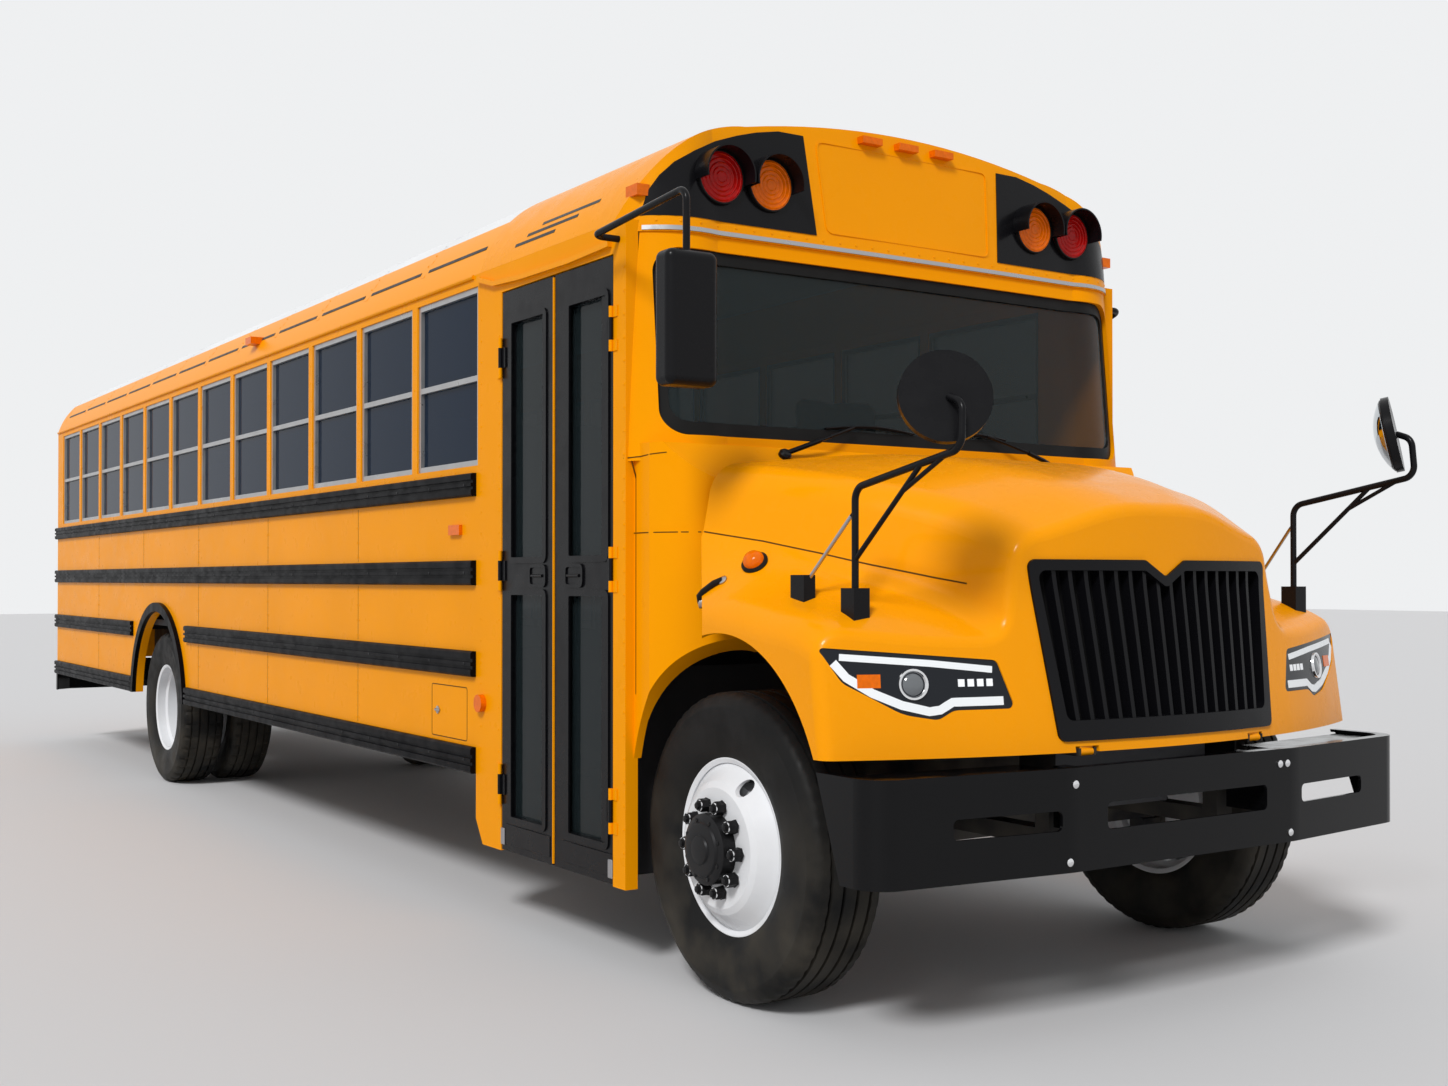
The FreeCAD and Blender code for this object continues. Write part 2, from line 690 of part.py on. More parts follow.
def arch_flare():
    """Rubber flare that stands out round the right rear arch, above the skirt rails."""
    lip = dims.arch_radius + dims.flare
    ring = cut(arch_disc(lip, -dims.half_width - dims.flare_depth, -dims.half_width - dims.seam),
               arch_disc(dims.arch_radius, -dims.half_width - dims.wall, -dims.half_width + dims.wall))
    keep = box((-dims.wheelbase - lip, -dims.half_width - dims.wall, dims.skirt_z),
               (-dims.wheelbase + lip, -dims.half_width, dims.arch_z + lip))
    return common(ring, keep)


node("right_wall", right_wall())
node("left_wall", left_wall())


# --- windows -----------------------------------------------------------------------------------

def window_frame(width):
    """A split sash frame with its front lower corner at the origin, glazed along X and Z."""
    tall = dims.window_head - dims.window_sill - 2 * dims.seam
    outer = box((-width, 0.0, 0.0), (0.0, dims.frame_depth, tall))
    middle = dims.sash_bar_z - dims.window_sill
    lower = box((-width + dims.frame_width, -dims.frame_depth, dims.frame_width),
                (-dims.frame_width, dims.frame_depth * 2, middle - dims.frame_width / 2))
    upper = box((-width + dims.frame_width, -dims.frame_depth, middle + dims.frame_width / 2),
                (-dims.frame_width, dims.frame_depth * 2, tall - dims.frame_width))
    return cut(outer, lower, upper)


def window_panes(width):
    """The two panes of a sash frame, in the same place as window_frame."""
    tall = dims.window_head - dims.window_sill - 2 * dims.seam
    middle = dims.sash_bar_z - dims.window_sill
    inset = dims.frame_depth / 2
    lower = box((-width + dims.frame_width, inset, dims.frame_width),
                (-dims.frame_width, inset + dims.glass, middle - dims.frame_width / 2))
    upper = box((-width + dims.frame_width, inset, middle + dims.frame_width / 2),
                (-dims.frame_width, inset + dims.glass, tall - dims.frame_width))
    return group(lower, upper)


def along_side(piece, driver_piece):
    """Copies of a window piece in all openings of both sides."""
    right = [moved(piece, (-dims.window_front - dims.seam - dims.window_pitch * index,
                           -dims.half_width + 8.0, dims.window_sill + dims.seam))
             for index in range(int(dims.window_count))]
    left = [mirrored(part) for part in right]
    front = mirrored(moved(driver_piece, (-driver_rear + dims.driver_window - dims.seam,
                                          -dims.half_width + 8.0, dims.window_sill + dims.seam)))
    return group(*right, *left, front)


sash_width = dims.window_width - 2 * dims.seam
driver_width = dims.driver_window - 2 * dims.seam
node("window_frames", along_side(window_frame(sash_width), window_frame(driver_width)))


# --- rub rails ---------------------------------------------------------------------------------

def rub_rail(front, rear, foot, top):
    """A grooved rail on the right side between two distances behind the front axle."""
    face = -dims.half_width - 26.0
    root = -dims.half_width - dims.seam
    land = (top - foot) / 7
    floor_y = face + 9.0
    outline = (
        (root, foot), (face + 8.0, foot), (face, foot + land / 2),
        (face, foot + land * 2), (floor_y, foot + land * 2), (floor_y, foot + land * 3),
        (face, foot + land * 3), (face, foot + land * 4), (floor_y, foot + land * 4),
        (floor_y, foot + land * 5), (face, foot + land * 5), (face, top - land / 2),
        (face + 8.0, top), (root, top),
    )
    return profile("yz", outline, -rear, -front)


def rub_rails():
    arch_front = dims.wheelbase - dims.arch_radius - dims.flare - 12.0
    arch_rear = dims.wheelbase + dims.arch_radius + dims.flare + 12.0
    tail = dims.body_rear - 6.0
    right = [rub_rail(dims.rail_front, tail, 1721.0, 1817.0),
             rub_rail(dims.rail_front, tail, 1352.0, 1455.0),
             rub_rail(dims.rail_front, arch_front, 973.0, 1079.0),
             rub_rail(arch_rear, tail, 973.0, 1079.0),
             rub_rail(dims.rail_front, arch_front, dims.skirt_z, 683.0),
             rub_rail(arch_rear, tail, dims.skirt_z, 683.0)]
    return both_sides(group(*right))


node("rub_rails", group(rub_rails(), both_sides(arch_flare())))


# --- roof and front cap ------------------------------------------------------------------------

def roof_outline(drop, foot):
    """The roof's section, drop millimetres inside its skin, closed at a level foot."""
    side = dims.half_width - drop
    return (
        (-side, foot), (side, foot), (side, dims.eave_z),
        (dims.cove_y - drop * 0.75, dims.cove_z - drop * 0.75, dims.haunch_y, dims.haunch_z - drop),
        (0.0, dims.crown_z - drop, -dims.haunch_y, dims.haunch_z - drop),
        (-dims.cove_y + drop * 0.75, dims.cove_z - drop * 0.75, -side, dims.eave_z),
    )


def roof_shell(front, rear, foot):
    """A length of roof between two distances behind the front axle."""
    outer = profile("yz", roof_outline(0.0, foot), -rear, -front)
    inner = profile("yz", roof_outline(dims.roof_skin, foot - dims.wall), -rear - dims.gap,
                    -front + dims.gap)
    return cut(outer, inner)


def corner_plan(front, drop):
    """The body's front in plan: front is its middle's distance behind the axle."""
    side = dims.half_width - drop
    nose = -front - drop
    back = nose - dims.corner_depth
    turn = side - dims.corner_width
    return (
        (-dims.cap_rear - dims.wall, -side), (back, -side),
        (nose - dims.corner_depth * 0.42, -side + dims.corner_width * 0.2, nose - 12.0, -turn),
        (nose, 0.0, nose - 12.0, turn),
        (nose - dims.corner_depth * 0.42, side - dims.corner_width * 0.2, back, side),
        (-dims.cap_rear - dims.wall, side),
    )


def plan_wire(front, drop, height):
    """A closed plan wire at a height, from the entries of corner_plan."""
    entries = corner_plan(front, drop)
    edges = []
    for index, entry in enumerate(entries):
        start, end = entries[index - 1][-2:], entry[-2:]
        one = Vector(float(start[0]), float(start[1]), float(height))
        two = Vector(float(end[0]), float(end[1]), float(height))
        if len(entry) == 4:
            edges.append(Part.Arc(one, Vector(float(entry[0]), float(entry[1]), float(height)), two).toShape())
        else:
            edges.append(Part.LineSegment(one, two).toShape())
    return Part.Wire(edges)


def plan_loft(low, high, drop):
    """A leaning block between two plans, each given as (front, height)."""
    return Part.makeLoft([plan_wire(low[0], drop, low[1]), plan_wire(high[0], drop, high[1])], True, True)


def cap_plan(height):
    """The cap's front at a height, as plan_loft takes it: it leans back as it rises."""
    lean = dims.cap_rake * (height - dims.cap_foot) / (dims.crown_z - dims.cap_foot)
    return (dims.cap_front + lean, height)


def front_cap():
    block = shape(plan_loft(cap_plan(dims.cap_foot), cap_plan(dims.crown_z + 2.0), 0.0))
    outer = common(profile("yz", roof_outline(0.0, dims.cap_foot), -dims.cap_rear, 0.0), block)
    room = shape(plan_loft(cap_plan(dims.cap_foot - dims.wall), cap_plan(dims.crown_z),
                           float(dims.roof_skin)))
    inner = common(profile("yz", roof_outline(dims.roof_skin, dims.cap_foot - dims.wall),
                           -dims.cap_rear - dims.gap, 0.0), room)
    side_rest = box((-dims.cap_rear - dims.gap, -dims.half_width - dims.gap, dims.cap_foot - dims.gap),
                    (-dims.corner_x, dims.half_width + dims.gap, dims.eave_z + dims.seam))
    return cut(outer, inner, side_rest)


cap_face = -dims.cap_front - dims.cap_rake / 2
lamp_z = dims.crown_z - dims.lamp_drop


def lens(y, grow=0.0):
    """A round lens through the front cap's face, grown by a margin."""
    return cylinder(dims.lamp_radius + grow, dims.lamp_depth + 30.0 + grow,
                    (cap_face - 50.0 - grow, y, lamp_z), "x")


rear_lamp_z = dims.crown_z - dims.rear_lamp_drop
lamp_pockets = [lens(side * y, dims.seam) for side in (-1.0, 1.0) for y in (dims.red_y, dims.amber_y)]
node("roof", roof_shell(dims.cap_rear + dims.seam, dims.body_rear, dims.eave_z + dims.seam))
node("front_cap", cut(front_cap(), *lamp_pockets))


# --- windscreen, surround and cowl ---------------------------------------------------------------

def screen_block(low, high, drop):
    """A block that follows the windscreen's curve between two heights."""
    slope = (dims.screen_head_x - dims.screen_foot_x) / (dims.screen_head - dims.screen_sill)
    ends = [(float(dims.screen_foot_x + slope * (z - dims.screen_sill)), float(z)) for z in (low, high)]
    return shape(plan_loft(ends[0], ends[1], float(drop)))


def screen_opening(margin, start, end):
    """A round-cornered block through the windscreen opening, larger by a margin."""
    half, low, high = dims.half_width - dims.screen_post + margin, dims.screen_sill - margin, dims.screen_head + margin
    turn = dims.screen_corner
    bite = turn * 0.293
    outline = (
        (half - turn, low), (half - bite, low + bite, half, low + turn),
        (half, high - turn), (half - bite, high - bite, half - turn, high),
        (-half + turn, high), (-half + bite, high - bite, -half, high - turn),
        (-half, low + turn), (-half + bite, low + bite, -half + turn, low),
    )
    return profile("yz", outline, start, end)


def windscreen_surround():
    low, high = dims.cowl_z, dims.cap_foot - dims.seam
    ring = cut(screen_block(low, high, 0.0), screen_block(low - 1.0, high + 1.0, dims.surround),
               screen_opening(0.0, -dims.corner_x - dims.surround, 0.0))
    keep = box((-dims.corner_x, -dims.half_width, low), (0.0, dims.half_width, high))
    return common(ring, keep)


def windscreen():
    pane = cut(screen_block(dims.screen_sill - 60.0, dims.screen_head + 40.0, dims.surround * 0.3),
               screen_block(dims.screen_sill - 70.0, dims.screen_head + 50.0, dims.surround * 0.3 + dims.glass))
    return common(pane, screen_opening(-dims.seam, -dims.corner_x, 0.0))


node("windscreen", windscreen())


# --- bumpers -------------------------------------------------------------------------------------

BUMPER_BACK = 600.0
BUMPER_SLOTS = (
    # side, side, foot, head
    (-374.0, 374.0, 620.0, 702.0),
    (-950.0, -560.0, 630.0, 690.0),
    (560.0, 950.0, 630.0, 690.0),
)


def bumper_plan(inset):
    """The front bumper's plan, inset millimetres inside its face."""
    face, side = dims.bumper_x - inset, dims.half_width - inset
    shoulder = face - 80.0
    corners = ((BUMPER_BACK, -side), (shoulder, -side), (face, -dims.bumper_flat), (face, dims.bumper_flat),
               (shoulder, side), (BUMPER_BACK, side))
    return rounded(corners, (100.0, 400.0, 400.0, 100.0))


def front_bumper():
    outer = profile("xy", bumper_plan(0.0), dims.bumper_foot, dims.bumper_top)
    inner = profile("xy", bumper_plan(dims.bumper_plate), dims.bumper_foot + dims.bumper_plate,
                    dims.bumper_top - dims.bumper_plate)
    core = profile("xy", bumper_plan(dims.bumper_flange), dims.bumper_foot - dims.gap,
                   dims.bumper_top + dims.gap)
    slots = []
    for start, end, foot, head in BUMPER_SLOTS:
        outline = rounded_loop(((start, foot), (end, foot), (end, head), (start, head)), (18.0,) * 4)
        slots.append(profile("yz", outline, dims.bumper_x - 230.0, dims.bumper_x + 20.0))
    reach = dims.half_width + dims.gap
    ends = profile("xz", ((BUMPER_BACK - 50.0, dims.bumper_foot - 50.0), (BUMPER_BACK + 138.0, dims.bumper_foot - 50.0),
                          (BUMPER_BACK, dims.bumper_top + 20.0), (BUMPER_BACK - 50.0, dims.bumper_top + 20.0)),
                   -reach, reach)
    hanger = box((dims.rail_nose, -dims.rail_y - dims.rail_width, rail_foot - 130.0),
                 (dims.bumper_x - dims.bumper_plate / 2, -dims.rail_y - 24.0, dims.bumper_top - 15.0))
    return fuse(cut(outer, inner, core, ends, *slots), hanger, mirrored(hanger))


def rear_bumper():
    face, side = dims.rear_bumper_x, dims.half_width
    outline = (
        (-face, -side + 120.0), (-face + 90.0, -side), (-dims.body_rear - dims.gap, -side),
        (-dims.body_rear - dims.gap, -side + dims.bumper_plate), (-face + 96.0, -side + dims.bumper_plate),
        (-face + dims.bumper_plate, -side + 124.0), (-face + dims.bumper_plate, side - 124.0),
        (-face + 96.0, side - dims.bumper_plate), (-dims.body_rear - dims.gap, side - dims.bumper_plate),
        (-dims.body_rear - dims.gap, side), (-face + 90.0, side), (-face, side - 120.0),
    )
    bar = profile("xy", outline, 430.0, 680.0)
    tail = -dims.rail_tail
    arm = fuse(box((-face + dims.bumper_plate, dims.rail_y, 480.0), (tail + 130.0, dims.rail_y + 70.0, 680.0)),
               box((tail, dims.rail_y, 600.0), (tail + 130.0, dims.rail_y + 70.0, rail_foot - dims.seam)))
    return fuse(bar, arm, mirrored(arm))


node("front_bumper", front_bumper())
node("rear_bumper", rear_bumper())


# --- hood, grille and headlamps ------------------------------------------------------------------

# Half sections of the hood and fenders, from the fender's foot up to the centre line. Each row is
# the distance ahead of the front axle, then seven points as (Y, Z).
# The stations were drawn on a bus of this half width, with the hood's crest at this height.
DRAWN_HALF = 1219.0
DRAWN_CREST = 1828.0
HOOD_FOOT = 480.0
HOOD_STATIONS = (
    # ahead, shoulder up, seam out, seam up, crown out, crown up, panel out, crest up
    (-620.0, 1240.0, 1110.0, 1560.0, 1066.0, 1800.0, 450.0, 1850.0),
    (-190.0, 1240.0, 1095.0, 1540.0, 1052.0, 1765.0, 420.0, 1828.0),
    (60.0, 1275.0, 1000.0, 1490.0, 930.0, 1730.0, 370.0, 1812.0),
    (330.0, 1268.0, 880.0, 1400.0, 800.0, 1675.0, 310.0, 1772.0),
    (600.0, 1226.0, 715.0, 1300.0, 645.0, 1590.0, 250.0, 1704.0),
    (800.0, 1060.0, 640.0, 1195.0, 575.0, 1490.0, 200.0, 1630.0),
    (1000.0, 850.0, 580.0, 1060.0, 530.0, 1400.0, 200.0, 1540.0),
)


def hood_section(station, drop):
    """A closed section across the hood, drop millimetres inside its skin."""
    ahead, shoulder_up, seam_out, seam_up, crown_out, crown_up, panel_out, crest_up = station
    across = float(dims.half_width) / DRAWN_HALF
    rise = float(dims.hood_crest) / DRAWN_CREST
    left = [(DRAWN_HALF * across - drop, HOOD_FOOT), (DRAWN_HALF * across - drop, shoulder_up * rise - drop),
            (seam_out * across - drop, seam_up * rise - drop), (crown_out * across - drop, crown_up * rise - drop),
            (panel_out * across, crest_up * rise - drop)]
    right = [(-out, up) for out, up in reversed(left)]
    rounds = [dims.shoulder_round, dims.seam_round, dims.crown_round, dims.panel_round]
    outline = rounded(left + right, rounds + rounds[::-1])
    return loop_wire(outline, lambda out, up: Vector(ahead, out, up))


def nose_block(drop):
    """All that lies behind the nose's crowned face, drop millimetres inside it."""
    brow, crown = float(dims.brow_x) - drop, float(dims.nose_crown)
    lean = float(dims.nose_x - dims.brow_x) / float(dims.brow_z - dims.nose_foot)
    low, high = 440.0, 2100.0
    back = HOOD_STATIONS[0][0] - 60.0
    outline = rounded([(back, low), (brow + lean * (float(dims.brow_z) - low), low), (brow, float(dims.brow_z)),
                       (brow, high), (back, high)], [0.0, dims.brow_round, 0.0])
    axis = Vector(float(dims.brow_x) - crown, 0, 0)
    side = Part.Face(loop_wire(outline, lambda ahead, up: Vector(ahead, 0, up)))
    side.rotate(axis, Vector(0, 0, 1), -32)
    return side.revolve(axis, Vector(0, 0, 1), 64)


def hood_block(drop):
    """The hood's outer form with the nose's edge rounded, drop millimetres inside its skin."""
    along = Part.makeLoft([hood_section(station, drop) for station in HOOD_STATIONS], True, False)
    blunt = along.common(nose_block(drop)).Solids[0]
    nose = [face for face in blunt.Faces if isinstance(face.Surface, (Part.Cone, Part.Cylinder, Part.Toroid))]
    skin = [edge for face in blunt.Faces if isinstance(face.Surface, Part.BSplineSurface) for edge in face.Edges]
    rim = [edge for face in nose for edge in face.Edges if any(edge.isSame(other) for other in skin)]
    return blunt.makeFillet(float(dims.nose_edge), rim)


def front_arch(grow, start, end):
    """An elliptic block through the front wheel arch, grown outwards by a margin."""
    ring = Part.Ellipse(Vector(0, 0, 0), max(float(dims.fender_arch_b), float(dims.fender_arch_a)) + grow,
                        min(float(dims.fender_arch_b), float(dims.fender_arch_a)) + grow).toShape()
    face = Part.Face(Part.Wire([ring]))
    face.rotate(Vector(0, 0, 0), Vector(0, 0, 1), 90)
    face.rotate(Vector(0, 0, 0), Vector(1, 0, 0), 90)
    face.translate(Vector(float(dims.fender_arch_x), float(start), float(dims.fender_arch_z)))
    return face.extrude(Vector(0, float(end) - float(start), 0))


def hood():
    outer, inner = hood_block(0.0), hood_block(float(dims.hood_skin))
    side = float(dims.half_width) + 10
    skin = outer.cut(inner)
    front = Part.makeBox(1600, 2 * side, 2000, Vector(-float(dims.hood_rear), -side, 0))
    band = front_arch(float(dims.fender_lip), -side, side).common(
        Part.makeBox(900, 2 * side, 720, Vector(22 - float(dims.corner_x), -side, float(dims.fender_foot))))
    high = Part.makeBox(1600, 2 * side, 3000, Vector(float(dims.fender_arch_x), -side, float(dims.nose_foot)))
    rear = Part.makeBox(1600, 2 * side, 3000, Vector(float(dims.fender_arch_x) - 1600, -side, float(dims.fender_foot)))
    made = skin.common(front.fuse(band)).common(high.fuse(rear)).cut(front_arch(0.0, -side, side))
    return shape(made.cut(grille_block(0.0, 0.0)))


def grille_block(margin, sill):
    """A block ahead through the grille's outline, grown by a margin, its foot raised by a sill."""
    high, low = float(dims.grille_top) + margin, float(dims.grille_foot) - margin + sill
    top, foot = float(dims.grille_half_top) + margin, float(dims.grille_half_foot) + margin
    notch = float(dims.grille_notch)
    corners = ((-foot, low), (foot, low), (top, high), (notch, high), (0.0, high - float(dims.notch_drop)),
               (-notch, high), (-top, high))
    outline = rounded_loop(corners, (26.0, 26.0, 26.0, 30.0, 26.0, 30.0, 26.0))
    face = Part.Face(loop_wire(outline, lambda out, up: Vector(float(dims.brow_x) / 2, out, up)))
    return face.extrude(Vector(float(dims.brow_x), 0, 0))


def grille():
    """A frame on the nose's curve with upright bars that close in towards the foot."""
    seam, frame_face = float(dims.seam), float(dims.grille_frame)
    sill = float(dims.grille_sill) - frame_face
    depth = float(dims.grille_depth)
    opening = grille_block(-frame_face, sill)
    band = nose_block(-8.0).cut(nose_block(depth))
    frame_ring = band.common(grille_block(-seam, 0.0).cut(opening))
    bar_band = nose_block(2.0).cut(nose_block(depth - 6.0)).common(grille_block(1.0 - frame_face, sill))
    count = int(dims.grille_bars)
    top, foot = float(dims.grille_half_top), float(dims.grille_half_foot)
    wide = float(dims.grille_bar) / 2
    bars = []
    for index in range(count):
        share = (1 - frame_face / top) * (2 * (index + 1) / (count + 1) - 1)
        face = Part.Face(wire([(0.0, share * foot - wide, dims.grille_foot), (0.0, share * foot + wide, dims.grille_foot),
                               (0.0, share * top + wide, dims.grille_top), (0.0, share * top - wide, dims.grille_top)]))
        bars.append(face.extrude(Vector(2 * float(dims.nose_x), 0, 0)).common(bar_band))
    return shape(frame_ring.multiFuse(bars))


LAMP_CORNERS = (
    # out, up, round
    (1210.0, 1177.0, 10.0),
    (682.0, 1134.0, 24.0),
    (634.0, 989.0, 16.0),
    (830.0, 988.0, 60.0),
    (880.0, 960.0, 50.0),
    (985.0, 978.0, 160.0),
    (1150.0, 1072.0, 60.0),
)


def lamp_prism(margin):
    """A block ahead through both headlamp openings, grown by a margin."""
    wide = float(dims.half_width) / DRAWN_HALF
    crown = float(dims.nose_crown)
    reach = LAMP_CORNERS[0][0]
    bend = math.sqrt(crown ** 2 - reach ** 2) - math.sqrt(crown ** 2 - (reach * wide) ** 2)
    start = float(dims.fender_arch_x) + float(dims.fender_arch_a) - 80.0 - bend
    outline = rounded_loop([(out * wide, up) for out, up, turn in LAMP_CORNERS],
                           [turn for out, up, turn in LAMP_CORNERS])
    face = Part.Face(loop_wire(outline, lambda out, up: Vector(start, out, up)))
    if margin:
        face = face.makeOffset2D(margin)
    left = face.extrude(Vector(600.0, 0, 0))
    return left.fuse(left.mirror(Vector(0, 0, 0), Vector(0, 1, 0)))


def headlamps():
    body_form = hood_block(4.0).cut(hood_block(float(dims.hood_skin) + 40.0))
    return shape(body_form.common(lamp_prism(-float(dims.seam))))


hood_form = hood()
lamp_hole = shape(lamp_prism(0.0))
hood_hinges = fuse(hood_knuckle(), mirrored(hood_knuckle()))
node("hood_and_fenders", fuse(cut(hood_form, lamp_hole, both_sides(hinge_notch())), hood_hinges))
node("grille", grille())
node("headlamps", headlamps())


# --- cowl ------------------------------------------------------------------------------------------

cowl_mass = []


def cowl():
    """Fixed panels between the hood's rear edge and the windscreen, and the firewall."""
    side = float(dims.half_width)
    x_front = -float(dims.cowl_front)
    rear = -float(dims.corner_x)
    inset = float(dims.cowl_inset)
    front = float(dims.cowl_front) - inset
    outline = plan_loft((front, float(dims.skirt_z)), (front, float(dims.cowl_z) + 90.0), inset)
    lean = Part.Face(wire([(x_front + 5, -side - 5, 400), (x_front + 5, -side - 5, dims.cowl_z - 90.0),
                           (-float(dims.screen_foot_x), -side - 5, dims.cowl_z + 60.0), (rear, -side - 5, dims.cowl_z + 60.0),
                           (rear, -side - 5, 400)])).extrude(Vector(0, 2 * side + 10, 0))
    solid = outline.common(lean)
    cowl_mass.append(solid)
    inner = plan_loft((front + 30.0, 300.0), (front + 30.0, float(dims.cowl_z) - 20.0), inset + 30.0)
    shell = solid.cut(inner.common(Part.makeBox(900, 2 * side, 2000, Vector(-1000, -side, 0))))
    clear = front_arch(float(dims.fender_lip) - 20.0, -side - 50, side + 50)
    return shape(shell.cut(clear).cut(Part.makeBox(900, 1400, 1200, Vector(-800, -700, 0))))


node("cowl", fuse(windscreen_surround(), cowl()))

# --- rear wall and rear door ------------------------------------------------------------------------

def rear_wall():
    side = dims.half_width - dims.wall - dims.seam
    blank = common(profile("yz", roof_outline(dims.roof_skin + 0.5, dims.rear_foot), -dims.body_rear,
                           -dims.body_rear + dims.wall),
                   box((-dims.body_rear - dims.gap, -side, dims.rear_foot),
                       (-dims.body_rear + dims.wall * 2, side, dims.crown_z)))
    doorway = box((-dims.body_rear - dims.wall, -dims.rear_door_half, dims.floor_z + dims.gap),
                  (-dims.body_rear + dims.wall * 2, dims.rear_door_half, dims.rear_door_top))
    pane = box((-dims.body_rear - dims.wall, dims.rear_door_half + 130.0, dims.window_sill),
               (-dims.body_rear + dims.wall * 2, dims.half_width - 190.0, dims.window_head))
    return fuse(cut(blank, doorway, pane, mirrored(pane)), rear_door_hinge(False))


def rear_panes():
    pane = box((-dims.body_rear + dims.wall / 2, dims.rear_door_half + 130.0 + dims.seam,
                dims.window_sill + dims.seam),
               (-dims.body_rear + dims.wall / 2 + dims.glass, dims.half_width - 190.0 - dims.seam,
                dims.window_head - dims.seam))
    return both_sides(pane)


rear_leaf_half = dims.rear_door_half - dims.gap


def rear_door():
    leaf = box((-dims.body_rear + LEAF_SET_BACK, -rear_leaf_half, rear_leaf_low),
               (-dims.body_rear + dims.wall - LEAF_SET_BACK, rear_leaf_half, rear_leaf_high))
    holes = [box((-dims.body_rear - dims.wall, -rear_leaf_half + 90.0, low),
                 (-dims.body_rear + dims.wall * 2, rear_leaf_half - 90.0, high))
             for low, high in ((dims.window_sill, rear_leaf_high - 90.0), (1290.0, dims.window_sill - 130.0))]
    return fuse(cut(leaf, *holes), rear_door_hinge(True))


def rear_door_panes():
    return group(*[box((-dims.body_rear + dims.wall / 2, -rear_leaf_half + 90.0 + dims.seam, low + dims.seam),
                       (-dims.body_rear + dims.wall / 2 + dims.glass, rear_leaf_half - 90.0 - dims.seam,
                        high - dims.seam))
                   for low, high in ((dims.window_sill, rear_leaf_high - 90.0),
                                     (1290.0, dims.window_sill - 130.0))])


node("rear_wall", rear_wall())
node("window_glass", group(along_side(window_panes(sash_width), window_panes(driver_width)), rear_panes()))
node("rear_door", rear_door())
node("rear_door_glass", rear_door_panes())


# --- entrance doors and steps ---------------------------------------------------------------------------

door_middle = (dims.door_rear + dims.door_front) / 2
leaf_face = -dims.half_width + LEAF_SET_BACK


def door_panes(rear, front, grow, thick, inset):
    """Blocks for the two panes of a door leaf, grown by a margin."""
    return [box((rear - grow, leaf_face + inset, low - grow), (front + grow, leaf_face + inset + thick, high + grow))
            for low, high in ((dims.kick_z, dims.lock_low), (dims.lock_high, dims.door_pane_top))]


def door_leaf(rear, front, pane_rear, pane_front, hinge_x, side):
    leaf = box((rear, leaf_face, leaf_foot), (front, leaf_face + dims.leaf, leaf_head))
    frame_part = cut(leaf, *door_panes(pane_rear, pane_front, 0.0, dims.leaf * 3, -dims.leaf))
    return fuse(frame_part, side_hinge(hinge_x, side, leaf_foot, leaf_head, True))


def door_glass(pane_rear, pane_front):
    return group(*door_panes(pane_rear, pane_front, -dims.seam, dims.glass, dims.leaf / 2))


rear_leaf_x = (-dims.door_rear + dims.gap, -door_middle - dims.leaf_gap / 2)
front_leaf_x = (-door_middle + dims.leaf_gap / 2, -dims.door_front - dims.gap)
rear_pane_x = (rear_leaf_x[0] + dims.stile, rear_leaf_x[1] - dims.meeting_stile)
front_pane_x = (front_leaf_x[0] + dims.meeting_stile, front_leaf_x[1] - dims.stile)
node("door_leaf_rear", door_leaf(*rear_leaf_x, *rear_pane_x, rear_hinge_x, 1.0))
node("door_glass_rear", door_glass(*rear_pane_x))
node("door_leaf_front", door_leaf(*front_leaf_x, *front_pane_x, front_hinge_x, -1.0))
node("door_glass_front", door_glass(*front_pane_x))


def entrance_steps():
    """Three folded treads between two side plates, from the door in to the floor."""
    foot = dims.floor_z - dims.step_rise * 3
    outer = -dims.half_width + dims.wall + dims.gap
    plate = dims.step_plate
    top, under = [], []
    edge = outer
    for index in range(3):
        level = foot + dims.step_rise * index
        riser = -dims.step_inner - dims.step_run * (2 - index)
        top += [(edge, level), (riser, level)]
        under += [(edge + (plate if index else 0.0), level - plate), (riser + plate, level - plate)]
        edge = riser
    top.append((-dims.step_inner, dims.floor_z - dims.floor_skin - dims.seam))
    under.append((-dims.step_inner + plate, dims.floor_z - dims.floor_skin - dims.seam))
    rear, front = -dims.door_rear + plate, -dims.door_front - plate
    treads = profile("yz", top + under[::-1], rear, front)
    plates = [box((x - plate, outer, foot - plate), (x, -dims.step_inner + plate,
                                                      dims.floor_z - dims.floor_skin - dims.seam))
              for x in (rear, front + plate)]
    return fuse(treads, *plates)


node("floor_and_steps", fuse(floor(), entrance_steps()))


# --- dashboard, steering and seats --------------------------------------------------------------------------

def dashboard():
    rear = -dims.corner_x - dims.surround - 130.0
    front = -dims.corner_x - dims.seam
    outline = ((front, 1480.0), (rear, 1480.0), (rear, 1750.0), (rear + 40.0, 1830.0), (front, 1850.0))
    desk = profile("xz", outline, -1040.0, 1040.0)
    kick = box((rear + 40.0, -dims.step_inner, dims.floor_z), (rear + 60.0, 1040.0, 1480.0))
    return fuse(desk, kick)


wheel_at = (-890.0, 560.0, 1905.0)
column_lean = 52.0


def steering_column():
    """The fixed column, from the desk up towards the driver."""
    post = cylinder(32.0, 310.0 - dims.seam, (0.0, 0.0, -330.0))
    tilted = moved(post, wheel_at, Rotation(Vector(0, 1, 0), -column_lean))
    clear = box((-690.0, -1040.0, 1480.0), (-400.0, 1040.0, 1860.0))
    return cut(tilted, clear)


